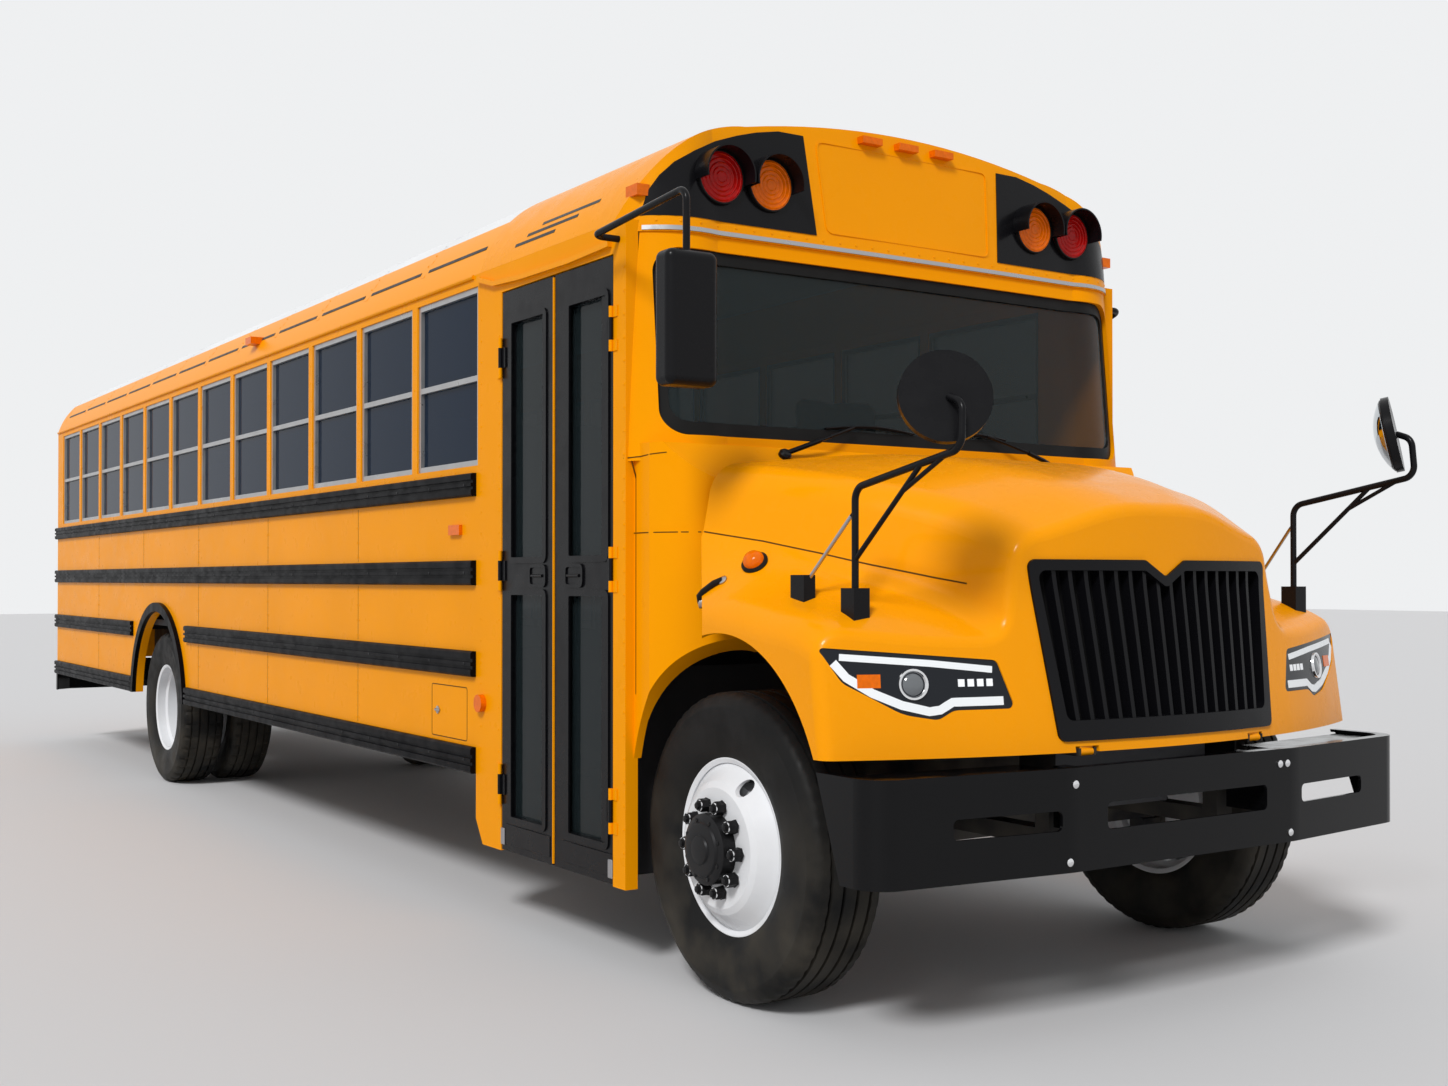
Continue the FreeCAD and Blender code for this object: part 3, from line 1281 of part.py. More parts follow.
def steering_wheel():
    rim = doc.addObject("Part::Torus", "Rim")
    rim.Radius1, rim.Radius2 = 215.0, 14.0
    boss = cylinder(45.0, 50.0, (0.0, 0.0, -20.0))
    spoke = box((0.0, -14.0, -6.0), (208.0, 14.0, 6.0))
    spokes = [moved(spoke, (0.0, 0.0, 0.0), Rotation(Vector(0, 0, 1), turn)) for turn in (90.0, 180.0, 270.0)]
    return moved(fuse(rim, boss, *spokes), wheel_at, Rotation(Vector(0, 1, 0), -column_lean))


def seat():
    """A passenger bench facing forwards, its cushion's front right corner over the origin."""
    under = dims.seat_z - dims.cushion
    head = dims.seat_z + dims.back_height
    behind = -dims.seat_depth - dims.back_thick
    cushion = box((-dims.seat_depth, 0.0, under), (0.0, dims.seat_width, dims.seat_z))
    back = profile("xz", ((-dims.seat_depth, under), (-dims.seat_depth, dims.seat_z),
                          (-dims.seat_depth - 25.0, head), (behind - 25.0, head), (behind, under)),
                   -dims.seat_width, 0.0)
    legs = [box((-dims.seat_depth, y, 0.0), (-40.0, y + 40.0, under)) for y in (60.0, dims.seat_width - 100.0)]
    return group(cushion, back, *legs)


def passenger_seats():
    bench = seat()
    first = dims.rail_front + 230.0
    side = dims.half_width - dims.wall - 12.0
    made = []
    for row in range(int(dims.seat_rows)):
        x = -first - dims.window_pitch * row
        made += [moved(bench, (x, -side, dims.floor_z)), moved(bench, (x, side - dims.seat_width, dims.floor_z))]
    return group(*made)


def driver_seat():
    cushion = profile("xz", ((0.0, 0.0), (0.0, 120.0), (-430.0, 100.0), (-430.0, 0.0)), -500.0, 0.0)
    back = profile("xz", ((-430.0, 0.0), (-430.0, 100.0), (-500.0, 820.0), (-610.0, 820.0), (-560.0, 0.0)),
                   -500.0, 0.0)
    pedestal = box((-440.0, 120.0, -330.0), (-90.0, 380.0, 0.0))
    return moved(group(cushion, back, pedestal), (-1060.0, 310.0, dims.floor_z + 330.0))


node("dashboard", fuse(dashboard(), steering_column()))
node("steering_wheel", steering_wheel())
node("seats", group(passenger_seats(), driver_seat()))


# --- wheels ---------------------------------------------------------------------------------------------------

def revolve(outline):
    """A PartDesign revolution about Y of a closed outline of (Y, radius) points."""
    body = doc.addObject("PartDesign::Body", "Body")
    sketch = body.newObject("Sketcher::SketchObject", "Outline")
    origin = [part for part in body.Origin.OriginFeatures if part.Role == PLANES["yz"]][0]
    sketch.AttachmentSupport = (origin, "")
    sketch.MapMode = "FlatFace"
    for index, point in enumerate(outline):
        start = outline[index - 1]
        sketch.addGeometry(Part.LineSegment(Vector(float(start[0]), float(start[1]), 0),
                                            Vector(float(point[0]), float(point[1]), 0)), False)
    pin_outline(sketch, outline)
    turned = body.newObject("PartDesign::Revolution", "Revolution")
    turned.Profile = sketch
    turned.ReferenceAxis = (sketch, ["H_Axis"])
    turned.Angle = 360.0
    return body


def tyre():
    half = dims.tyre_width / 2
    bead = dims.rim_radius + dims.seam
    flange = dims.flange_radius + dims.seam
    seat = dims.rim_half - 7.0 - dims.seam
    outline = (
        (-seat, bead), (-seat, flange), (-half, bead + 112.0), (-half + 24.0, dims.tyre_radius),
        (half - 24.0, dims.tyre_radius), (half, bead + 112.0), (seat, flange), (seat, bead),
    )
    return revolve(outline)


def disc_wheel():
    """A steel disc wheel, its disc's mounting face disc_offset to the right of its centre."""
    half, flange, bead, wall = dims.rim_half, dims.flange_radius, dims.rim_radius, dims.rim_wall
    well = bead - 24.0
    rim = revolve((
        (-half, bead), (-half, flange), (-half + 7.0, flange), (-half + 7.0, bead), (-40.0, bead), (-30.0, well),
        (40.0, well), (50.0, bead), (half - 7.0, bead), (half - 7.0, flange), (half, flange), (half, bead),
        (half - 6.0, bead - wall), (54.0, bead - wall), (44.0, well - wall), (-34.0, well - wall),
        (-44.0, bead - wall), (-half + 6.0, bead - wall),
    ))
    face = -dims.disc_offset
    bore = dims.hub_radius + dims.seam
    lip = bead - wall + 2.0
    disc = revolve((
        (face, bore), (face, 195.0), (face + 12.0, 216.0), (-98.0, lip), (-80.0, lip),
        (face + 27.0, 214.0), (face + 11.0, 192.0), (face + 11.0, bore),
    ))
    hole = cylinder(27.0, 120.0, (118.0, face - 20.0, 204.0), "y")
    return cut(fuse(rim, disc), hole, moved(hole, (0.0, 0.0, 0.0), Rotation(Vector(0, 1, 0), 180)))


def nuts(face, length):
    """Ten wheel nuts that stand out to the right of a face."""
    nut = put(cylinder(dims.nut_radius, length, (0.0, 0.0, 0.0), "y"), (dims.stud_circle, face - length, 0.0),
              TURN["y"])
    return [moved(nut, (0.0, 0.0, 0.0), Rotation(Vector(0, 1, 0), 36.0 * index)) for index in range(10)]


def front_hub():
    face = -dims.disc_offset
    turned = revolve((
        (face - 62.0, 0.0), (face - 62.0, 52.0), (face - 48.0, 62.0), (face - 20.0, 66.0), (face - 14.0, dims.hub_radius),
        (face + 12.0, dims.hub_radius), (face + 12.0, 175.0), (face + 70.0, 175.0), (face + 78.0, dims.drum_radius),
        (64.0, dims.drum_radius), (64.0, dims.spindle + dims.running), (-150.0, dims.spindle + dims.running),
        (-150.0, 0.0),
    ))
    return fuse(turned, *nuts(face - dims.seam, dims.nut_length))


def rear_hub():
    """The twin wheels' hub, its Y measured from the two discs' shared face."""
    bore = dims.axle_tube + dims.running
    turned = revolve((
        (-130.0, 0.0), (-130.0, 70.0), (-112.0, 82.0), (-60.0, 86.0), (-48.0, dims.hub_radius),
        (11.0 + dims.seam, dims.hub_radius), (11.0 + dims.seam, 175.0), (100.0, 175.0),
        (106.0, dims.drum_radius), (250.0, dims.drum_radius), (250.0, bore), (-96.0, bore), (-96.0, 0.0),
    ))
    return fuse(turned, *nuts(-11.0 - dims.seam, dims.nut_length))


def both_wheels(name, part, x, y):
    """A right and a left node of one piece of a wheel."""
    right = moved(part, (x, -y, dims.tyre_radius))
    node(name + "_right", right)
    node(name + "_left", mirrored(right))


rear_face = dims.rear_track - dims.disc_offset
inner_track = rear_face - dims.disc_offset
one_tyre, one_disc = tyre(), disc_wheel()
flipped = Rotation(Vector(0, 0, 1), 180)
both_wheels("front_tyre", one_tyre, 0.0, dims.front_track)
both_wheels("front_wheel", fuse(one_disc, front_hub()), 0.0, dims.front_track)
twin_tyres = group(moved(one_tyre, (0.0, -dims.disc_offset, 0.0)), moved(one_tyre, (0.0, dims.disc_offset, 0.0)))
twin_discs = group(moved(one_disc, (0.0, -dims.disc_offset - dims.seam / 2, 0.0), flipped),
                   moved(one_disc, (0.0, dims.disc_offset + dims.seam / 2, 0.0)))
both_wheels("rear_tyres", twin_tyres, -dims.wheelbase, rear_face)
both_wheels("rear_wheels", fuse(twin_discs, rear_hub()), -dims.wheelbase, rear_face)


# --- axles and springs ------------------------------------------------------------------------------------------

eye_radius = dims.king_radius + 18.0


def front_axle():
    beam = box((-40.0, -dims.king_y, dims.tyre_radius - 60.0), (40.0, dims.king_y, dims.tyre_radius + 40.0))
    eyes = [cylinder(eye_radius, 120.0, (0.0, side * dims.king_y, dims.tyre_radius - 60.0)) for side in (-1.0, 1.0)]
    bores = [cylinder(dims.king_radius + dims.running, 200.0, (0.0, side * dims.king_y, dims.tyre_radius - 100.0))
             for side in (-1.0, 1.0)]
    rail_middle = dims.rail_y + dims.rail_width / 2
    springs = []
    for side in (-1.0, 1.0):
        left = side * rail_middle - dims.spring_width / 2
        low = dims.tyre_radius + 40.0
        for half, height in ((420.0, 18.0), (600.0, 36.0), (760.0, 54.0)):
            springs.append(box((-half, left, low), (half, left + dims.spring_width, low + height)))
        for x in (-760.0, 700.0):
            springs.append(box((x, left, low + 54.0), (x + 60.0, left + dims.spring_width, rail_foot - dims.seam)))
    return fuse(cut(fuse(beam, *eyes), *bores), *springs)


def knuckle():
    """The right steering knuckle: ears above and below the axle's eye, kingpin and spindle."""
    middle, y = dims.tyre_radius, -dims.king_y
    low, high = middle - 60.0, middle + 60.0
    ears = [box((-38.0, y - 72.0, z), (38.0, y + 40.0, z + 38.0)) for z in (low - dims.gap - 38.0, high + dims.gap)]
    plate = box((-45.0, y - 72.0, low - dims.gap - 38.0), (45.0, y - 50.0, high + dims.gap + 38.0))
    pin = cylinder(dims.king_radius, high - low + 2 * dims.gap + 76.0, (0.0, y, low - dims.gap - 38.0))
    reach = dims.front_track + 148.0 - dims.king_y - 72.0
    spindle = cylinder(dims.spindle, reach, (0.0, y - 72.0 - reach, middle), "y")
    return fuse(plate, pin, spindle, *ears)


def rear_axle():
    z = dims.tyre_radius
    reach = rear_face + 92.0
    tube = cylinder(dims.axle_tube, reach * 2, (-dims.wheelbase, -reach, z), "y")
    bulb = doc.addObject("Part::Sphere", "Bulb")
    bulb.Radius = 190.0
    put(bulb, (-dims.wheelbase, 0.0, z))
    parts = [tube, bulb]
    for side in (-1.0, 1.0):
        left = side * dims.spring_y - dims.spring_width / 2
        low = z + dims.axle_tube - 20.0
        for half, height in ((420.0, 36.0), (620.0, 54.0), (780.0, 72.0)):
            parts.append(box((-dims.wheelbase - half, left, low),
                             (-dims.wheelbase + half, left + dims.spring_width, low + height)))
        inner, outer = sorted((side * (dims.rail_y + dims.rail_width + dims.seam),
                               side * (dims.spring_y + dims.spring_width / 2)))
        for x in (-780.0, 720.0):
            parts.append(box((-dims.wheelbase + x, inner, low + 72.0),
                             (-dims.wheelbase + x + 60.0, outer, rail_foot + 150.0)))
    return fuse(*parts)


engine_rear = -150.0


def propeller_shaft():
    """The shaft from the gearbox's place to the rear axle's nose."""
    start = Vector(engine_rear - 2.5, 0.0, 800.0)
    end = Vector(-float(dims.wheelbase) + 170.0, 0.0, float(dims.tyre_radius) + 10.0)
    along = end - start
    return shape(Part.makeCylinder(float(dims.shaft_radius), along.Length, start, along))


node("front_axle", front_axle())
right_knuckle = knuckle()
node("knuckle_right", right_knuckle)
node("knuckle_left", mirrored(right_knuckle))
node("rear_axle", fuse(rear_axle(), propeller_shaft()))


# --- engine bay, tank and exhaust ---------------------------------------------------------------------------------

def engine():
    half = dims.engine_width / 2
    return box((engine_rear, -half, 620.0), (engine_rear + dims.engine_length, half, 620.0 + dims.engine_height))


def radiator():
    return box((650.0, -rail_gap, rail_foot), (710.0, rail_gap, 1340.0))


def fuel_tank():
    outer = -dims.rail_y - dims.rail_width - dims.seam
    return box((-3300.0, -1000.0, 560.0), (-2300.0, outer, 920.0))


def exhaust():
    """A tail pipe, a silencer, a front pipe and hangers from the crossmembers."""
    y, z = 262.0, 640.0
    pipe, can = 45.0, 115.0
    can_rear, can_front = -3600.0, -2700.0
    tail = -dims.rear_bumper_x + 150.0
    rear_pipe = cylinder(pipe, can_rear - tail, (tail, y, z), "x")
    silencer = cylinder(can, can_front - can_rear, (can_rear, y, z), "x")
    front_pipe = cylinder(pipe, 1500.0, (can_front, y, z), "x")
    hangers = [box((-behind - 15.0, y - 6.0, z + under + 0.3), (-behind + 15.0, y + 6.0, member_z - 60.0 - dims.seam))
               for behind, under in ((3100.0, can), (4700.0, pipe), (9200.0, pipe))]
    return group(rear_pipe, silencer, front_pipe, *hangers)


rail_gap = dims.rail_y - dims.seam
node("engine", engine())
node("radiator", radiator())
node("fuel_tank", fuel_tank())
node("exhaust", exhaust())


# --- lamps ------------------------------------------------------------------------------------------------------------

def rear_lens(y):
    return cylinder(dims.lamp_radius, dims.lamp_depth,
                    (-dims.body_rear - dims.lamp_depth - dims.seam, y, rear_lamp_z), "x")


def visor(x, y, z, length):
    """A round hood over a lamp, open below."""
    outer = cylinder(dims.lamp_radius + 12.0, length, (x, y, z), "x")
    inner = cylinder(dims.lamp_radius + 6.0, length + 20.0, (x - 10.0, y, z), "x")
    below = box((x - 10.0, y - 150.0, z - 150.0), (x + length + 10.0, y + 150.0, z - 20.0))
    return cut(outer, inner, below)


cap_block = shape(plan_loft(cap_plan(dims.cap_foot - dims.wall), cap_plan(dims.crown_z + dims.wall),
                            -float(dims.seam)))
roof_block = profile("yz", roof_outline(-0.3, dims.eave_z - 200.0), -dims.body_rear - 200.0, 0.0)
cap_mass = common(cap_block, roof_block)


def lamp_hoods():
    front = [cut(visor(cap_face - 20.0, -y, lamp_z, dims.visor_reach), cap_block)
             for y in (dims.red_y, dims.amber_y)]
    rear = [visor(-dims.body_rear - dims.visor_reach - dims.seam, -y, rear_lamp_z, dims.visor_reach)
            for y in (dims.red_y, dims.amber_y)]
    return both_sides(group(*front, *rear))


def amber_markers():
    """Small amber lamps on the cap, its corners, the roof's edges and the side."""
    brow = [cut(box((cap_face - 40.0, y - 48.0, dims.crown_z - 58.0), (cap_face + 12.0, y + 48.0, dims.crown_z - 32.0)),
                cap_block)
            for y in (-180.0, 0.0, 180.0)]
    marker_z = dims.crown_z - dims.marker_drop
    corner = cut(box((-560.0, -1185.0, marker_z - 20.0), (-480.0, -1120.0, marker_z + 20.0)), cap_mass)
    edge = cut(box((-4850.0, -1240.0, marker_z - 19.0), (-4750.0, -1160.0, marker_z + 21.0)), roof_block)
    side_lamp = cylinder(36.0, 24.0, (-1671.0, -dims.half_width - 24.0 - dims.seam, 869.0), "y")
    side_marker = box((-1985.0, -dims.half_width - 16.0, 1564.0), (-1875.0, -dims.half_width - dims.seam, 1606.0))
    return group(*brow, both_sides(group(corner, edge, side_lamp, side_marker)))


def tail_lamps():
    """Red brake and tail lamps on the rear wall."""
    x = -dims.body_rear - dims.seam
    stop = cylinder(90.0, 36.0, (x - 36.0, -860.0, 1640.0), "x")
    tail = cylinder(50.0, 30.0, (x - 30.0, -860.0, 1480.0), "x")
    brow = [box((x - 26.0, y - 48.0, dims.crown_z - 108.0), (x, y + 48.0, dims.crown_z - 82.0))
            for y in (-180.0, 0.0, 180.0)]
    return group(*brow, both_sides(group(stop, tail)))


node("red_lamps", group(both_sides(group(lens(-dims.red_y), rear_lens(-dims.red_y))), tail_lamps()))
node("amber_lamps", group(both_sides(group(lens(-dims.amber_y), rear_lens(-dims.amber_y))), amber_markers()))
node("lamp_hoods", lamp_hoods())


# --- mirrors and wipers -----------------------------------------------------------------------------------------------

def mirror_housing(x, z):
    """A rear-view mirror housing on the right, its inside mirror_out from the side skin."""
    inside = -dims.half_width - dims.mirror_out
    block = box((x - 50.0, inside - dims.mirror_wide, z - dims.mirror_tall / 2),
                (x + 50.0, inside, z + dims.mirror_tall / 2))
    rounded = doc.addObject("Part::Fillet", "Fillet")
    rounded.Base = block
    doc.recompute()
    rounded.Edges = [(index + 1, 28.0, 28.0) for index in range(12)]
    return rounded


mirror_middle = dims.half_width + dims.mirror_out + dims.mirror_wide / 2
right_mirror = (60.0, dims.crown_z - dims.right_mirror_drop)
left_mirror = (-720.0, dims.crown_z - dims.left_mirror_drop)


def mirror_arm(x, top, foot, root_z):
    """A right-hand arm from the corner post out and down to a housing."""
    root = (-float(dims.corner_x) - 50.0, -float(dims.half_width) - 0.5, root_z)
    y = -float(mirror_middle)
    return tube_path((root, (root[0], y, root_z), (x, y, top), (x, y, foot)), dims.tube, 40.0)


def mirror_arms():
    crown = float(dims.crown_z)
    top = float(right_mirror[1]) + float(dims.mirror_tall) / 2
    right = mirror_arm(right_mirror[0], crown - 478.0, top + 0.3, crown - 523.0)
    top = float(left_mirror[1]) + float(dims.mirror_tall) / 2
    left = mirror_arm(left_mirror[0], crown - 598.0, top + 0.3, crown - 538.0).mirror(Vector(0, 0, 0), Vector(0, 1, 0))
    return shape(Part.makeCompound([right, left]))


def crossview_arm():
    """Arm, brace and stay of the right crossview mirror, on a block on the fender."""
    foot = (560.0, -1036.0)
    reach = float(dims.mirror_reach) - float(dims.tube)
    knee = 1650.0
    dish_y, dish_z = -float(dims.dish_y), float(dims.dish_z)
    arm = tube_path(((*foot, 1230.0), (*foot, knee), (reach, dish_y - 10.0, knee + 85.0),
                     (reach - 6.0, dish_y, dish_z - 20.0), (reach - 62.0, dish_y, dish_z)), 11.0, 45.0)
    brace = tube_path(((*foot, 1434.0), (875.0, -1045.0, 1705.0)), 8.0, 0.0)
    fork = tube_path(((785.0, -1042.0, 1628.0), (985.0, -1048.0, 1724.0)), 7.0, 0.0)
    stay_foot = (348.0, -1075.0)
    stay = tube_path(((*stay_foot, 1350.0), (*foot, 1584.0)), 5.0, 0.0)
    pads = [Part.makeBox(64.0, 60.0, 150.0, Vector(foot[0] - 32.0, foot[1] - 30.0, 1200.0)),
            Part.makeBox(70.0, 44.0, 110.0, Vector(stay_foot[0] - 35.0, stay_foot[1] - 22.0, 1280.0))]
    return shape(arm.multiFuse([brace, fork, stay, *pads]).cut(hood_block(-float(dims.seam))))


def crossview_mirror():
    """A domed dish that faces back to the driver."""
    centre = Vector(float(dims.mirror_reach) - 90.0, -float(dims.dish_y), float(dims.dish_z))
    facing = Vector(-0.84, 0.5, -0.2).normalize()
    radius = float(dims.dish_radius)
    rim = Part.makeCylinder(radius, 26.0, centre - facing * 12.0, facing)
    dome = Part.makeSphere(radius * 1.6, centre - facing * (radius * 1.25 - 14.0))
    keep = Part.makeCylinder(radius - 6.0, radius, centre + facing * 13.0, facing)
    return rim.fuse(dome.common(keep))


right_crossview_arm = crossview_arm()
dish = crossview_mirror()
right_dish = shape(dish)
node("rear_view_mirrors", group(mirror_housing(*right_mirror), mirrored(mirror_housing(*left_mirror)),
                                mirror_arms()))
node("crossview_mirrors", both_sides(fuse(right_crossview_arm, right_dish)))


def wipers():
    """Two wipers parked along the foot of the windscreen."""
    face = -float(dims.screen_foot_x) + 16.0
    made = []
    for side in (-1.0, 1.0):
        y = side * 666.0
        arm = tube_path(((face + 30.0, y, 1780.0), (face + 30.0, y, 1852.0), (face, y + 190.0, 1925.0),
                         (face - 4.0, y + 300.0, 1930.0)), 7.0, 18.0)
        made.append(arm)
    return shape(Part.makeCompound([arm.cut(cowl_mass[0]) for arm in made]))


node("wipers", wipers())


# --- stop arm -----------------------------------------------------------------------------------------------------------

def stop_arm():
    """An octagonal sign folded against the left side; its hinge is at its front edge."""
    outline = [(stop_x + a * stop_half, stop_z + b * stop_half)
               for a, b in ((1, 0.4142), (0.4142, 1), (-0.4142, 1), (-1, 0.4142), (-1, -0.4142), (-0.4142, -1),
                            (0.4142, -1), (1, -0.4142))]
    sign = profile("xz", outline, -stop_y - 6.0, -stop_y + 6.0)
    arm = box((stop_x + stop_half - 20.0, stop_y - 6.0, stop_z - 50.0), (stop_pin_x, stop_y + 6.0, stop_z + 50.0))
    barrel = cylinder(14.0, 100.0, (stop_pin_x, stop_y, stop_z - 50.0))
    return fuse(sign, arm, barrel)


node("stop_arm", stop_arm())


def write():
    """Check every object and write one STEP file for each node."""
    doc.recompute()
    for thing in doc.Objects:
        if any(word in thing.State for word in ("Invalid", "Error")):
            raise RuntimeError(f"{thing.Name} failed: {thing.State}")
    os.makedirs("parts", exist_ok=True)
    for final in nodes:
        solid = final.Shape
        if solid.isNull() or not solid.isValid() or not solid.Solids:
            raise RuntimeError(f"{final.Label} is not a valid solid")
        final.Shape.exportStep(os.path.join("parts", final.Label + ".step"))


write()
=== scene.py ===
"""School bus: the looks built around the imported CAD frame. Lengths are metres.

Places along the bus are measured from the front axle, forwards positive, and at() moves them to the
frame's own origin. Y is to the bus's left and Z is up from the ground.
"""
import json
from math import copysign, cos, pi, radians, sin, sqrt, tan

import bmesh
import bpy
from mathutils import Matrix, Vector
from mathutils.bvhtree import BVHTree


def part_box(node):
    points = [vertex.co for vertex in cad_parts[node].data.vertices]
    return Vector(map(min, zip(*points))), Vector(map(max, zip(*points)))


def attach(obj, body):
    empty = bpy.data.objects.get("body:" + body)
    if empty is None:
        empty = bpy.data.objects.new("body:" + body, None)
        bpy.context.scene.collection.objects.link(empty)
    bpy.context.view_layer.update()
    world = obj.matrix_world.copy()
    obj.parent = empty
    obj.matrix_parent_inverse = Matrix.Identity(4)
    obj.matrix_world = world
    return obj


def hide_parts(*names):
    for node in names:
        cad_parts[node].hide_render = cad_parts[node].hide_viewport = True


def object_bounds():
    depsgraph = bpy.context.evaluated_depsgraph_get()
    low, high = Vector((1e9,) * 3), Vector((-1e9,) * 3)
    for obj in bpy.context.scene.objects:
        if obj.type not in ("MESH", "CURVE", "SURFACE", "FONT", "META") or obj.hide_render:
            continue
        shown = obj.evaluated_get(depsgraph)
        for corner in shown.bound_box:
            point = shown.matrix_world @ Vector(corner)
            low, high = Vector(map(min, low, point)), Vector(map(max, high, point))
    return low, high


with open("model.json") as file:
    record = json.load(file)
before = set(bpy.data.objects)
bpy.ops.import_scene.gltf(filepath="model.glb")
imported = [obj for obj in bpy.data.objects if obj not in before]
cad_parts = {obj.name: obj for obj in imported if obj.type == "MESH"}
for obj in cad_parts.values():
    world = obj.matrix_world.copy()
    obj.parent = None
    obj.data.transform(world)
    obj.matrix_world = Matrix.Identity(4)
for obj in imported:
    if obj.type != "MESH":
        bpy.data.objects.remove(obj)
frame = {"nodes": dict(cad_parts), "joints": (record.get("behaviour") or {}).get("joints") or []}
scene = bpy.context.scene
cad_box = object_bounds()
nodes = frame["nodes"]
joint_at = {joint["name"]: joint["pos_m"] for joint in frame["joints"]}
AXLE_X, _, WHEEL_Z = joint_at["steer_right"]
REAR_X = joint_at["rear_wheels_right_spin"][0] - AXLE_X

FORWARD, UP = Vector((1, 0, 0)), Vector((0, 0, 1))
RIGHT = Vector((0, -1, 0))
SIDES = (-1.0, 1.0)  # right, left
HALF = 1.219  # half the body's width


def at(x, y, z):
    """A point given from the front axle, in the frame's coordinates."""
    return Vector((AXLE_X + x, y, z))


def turn(angle):
    """Cosine and sine of an angle in radians."""
    return cos(angle), sin(angle)


# --- camera, lights and floor ---

CAMERA_AT = (4.316, -3.9912, 1.375)
CAMERA_YAW, CAMERA_PITCH = 2.5514, 0.0099  # radians
LENS, SENSOR = 39.49, 36.0  # millimetres
SHIFT = (-0.0066, 0.0145)
FAR_CLIP = 200.0
SUN_AT, SUN_STRENGTH, SUN_SPREAD = (6.0, -8.0, 9.0), 2.3, 14.0  # place, strength, degrees
WHITE = (1.0, 1.0, 1.0, 1.0)
WORLD_STRENGTH = 0.52
BACKDROP = (0.86, 0.87, 0.88, 1.0)
FLOOR_SIZE, FLOOR_DROP = 120.0, 0.001
FLOOR_COLOUR, FLOOR_ROUGHNESS = (0.62, 0.62, 0.63, 1.0), 0.75


def preset(node, values):
    """Set a node's inputs that nothing feeds."""
    for name, value in values.items():
        node.inputs[name].default_value = value
    return node


def aimed(name, data, place, heading):
    """An object at a place that looks along a heading."""
    made = bpy.data.objects.new(name, data)
    scene.collection.objects.link(made)
    made.location = place
    made.rotation_euler = heading.to_track_quat("-Z", "Y").to_euler()
    return made


def add_camera():
    data = bpy.data.cameras.new("camera")
    data.lens, data.sensor_width = LENS, SENSOR
    data.shift_x, data.shift_y = SHIFT
    data.clip_end = FAR_CLIP
    c, s = turn(CAMERA_YAW)
    level, rise = turn(CAMERA_PITCH)
    heading = Vector((c * level, s * level, rise))
    scene.camera = aimed("camera", data, at(*CAMERA_AT), heading)


def add_sun():
    """A sun high in front of the right side, aimed at the middle of the front axle."""
    data = bpy.data.lights.new("key", "SUN")
    data.energy, data.angle = SUN_STRENGTH, radians(SUN_SPREAD)
    aimed("key", data, at(*SUN_AT), at(0.0, 0.0, 0.0) - at(*SUN_AT))


def add_world():
    """Soft white light, with the backdrop shown to the camera, gloss and glass alone."""
    world = bpy.data.worlds.new("studio")
    scene.world = world
    world.use_nodes = True
    add, link = world.node_tree.nodes.new, world.node_tree.links.new
    world.node_tree.nodes.clear()
    path = add("ShaderNodeLightPath")
    shown = path.outputs["Is Camera Ray"]
    for ray in ("Is Glossy Ray", "Is Transmission Ray"):
        either = add("ShaderNodeMath")
        either.operation = "MAXIMUM"
        link(shown, either.inputs[0])
        link(path.outputs[ray], either.inputs[1])
        shown = either.outputs[0]
    mix = add("ShaderNodeMixShader")
    link(shown, mix.inputs["Fac"])
    for index, (colour, strength) in enumerate(((WHITE, WORLD_STRENGTH), (BACKDROP, 1.0)), 1):
        light = preset(add("ShaderNodeBackground"), {"Color": colour, "Strength": strength})
        link(light.outputs[0], mix.inputs[index])
    link(mix.outputs[0], add("ShaderNodeOutputWorld").inputs["Surface"])


def add_floor():
    bpy.ops.mesh.primitive_plane_add(size=FLOOR_SIZE, location=(0.0, 0.0, -FLOOR_DROP))
    floor = bpy.context.object
    floor.name = "floor"
    material = bpy.data.materials.new("floor")
    material.use_nodes = True
    preset(material.node_tree.nodes["Principled BSDF"],
           {"Base Color": FLOOR_COLOUR, "Roughness": FLOOR_ROUGHNESS})
    floor.data.materials.append(material)


# --- materials ---

DUST, DUST_FOOT = (0.42, 0.36, 0.27), 0.2  # colour, and the height where it starts to fade
COAT_ROUGHNESS = 0.06
SHARP_LINE = 0.002  # width of the change between two paints


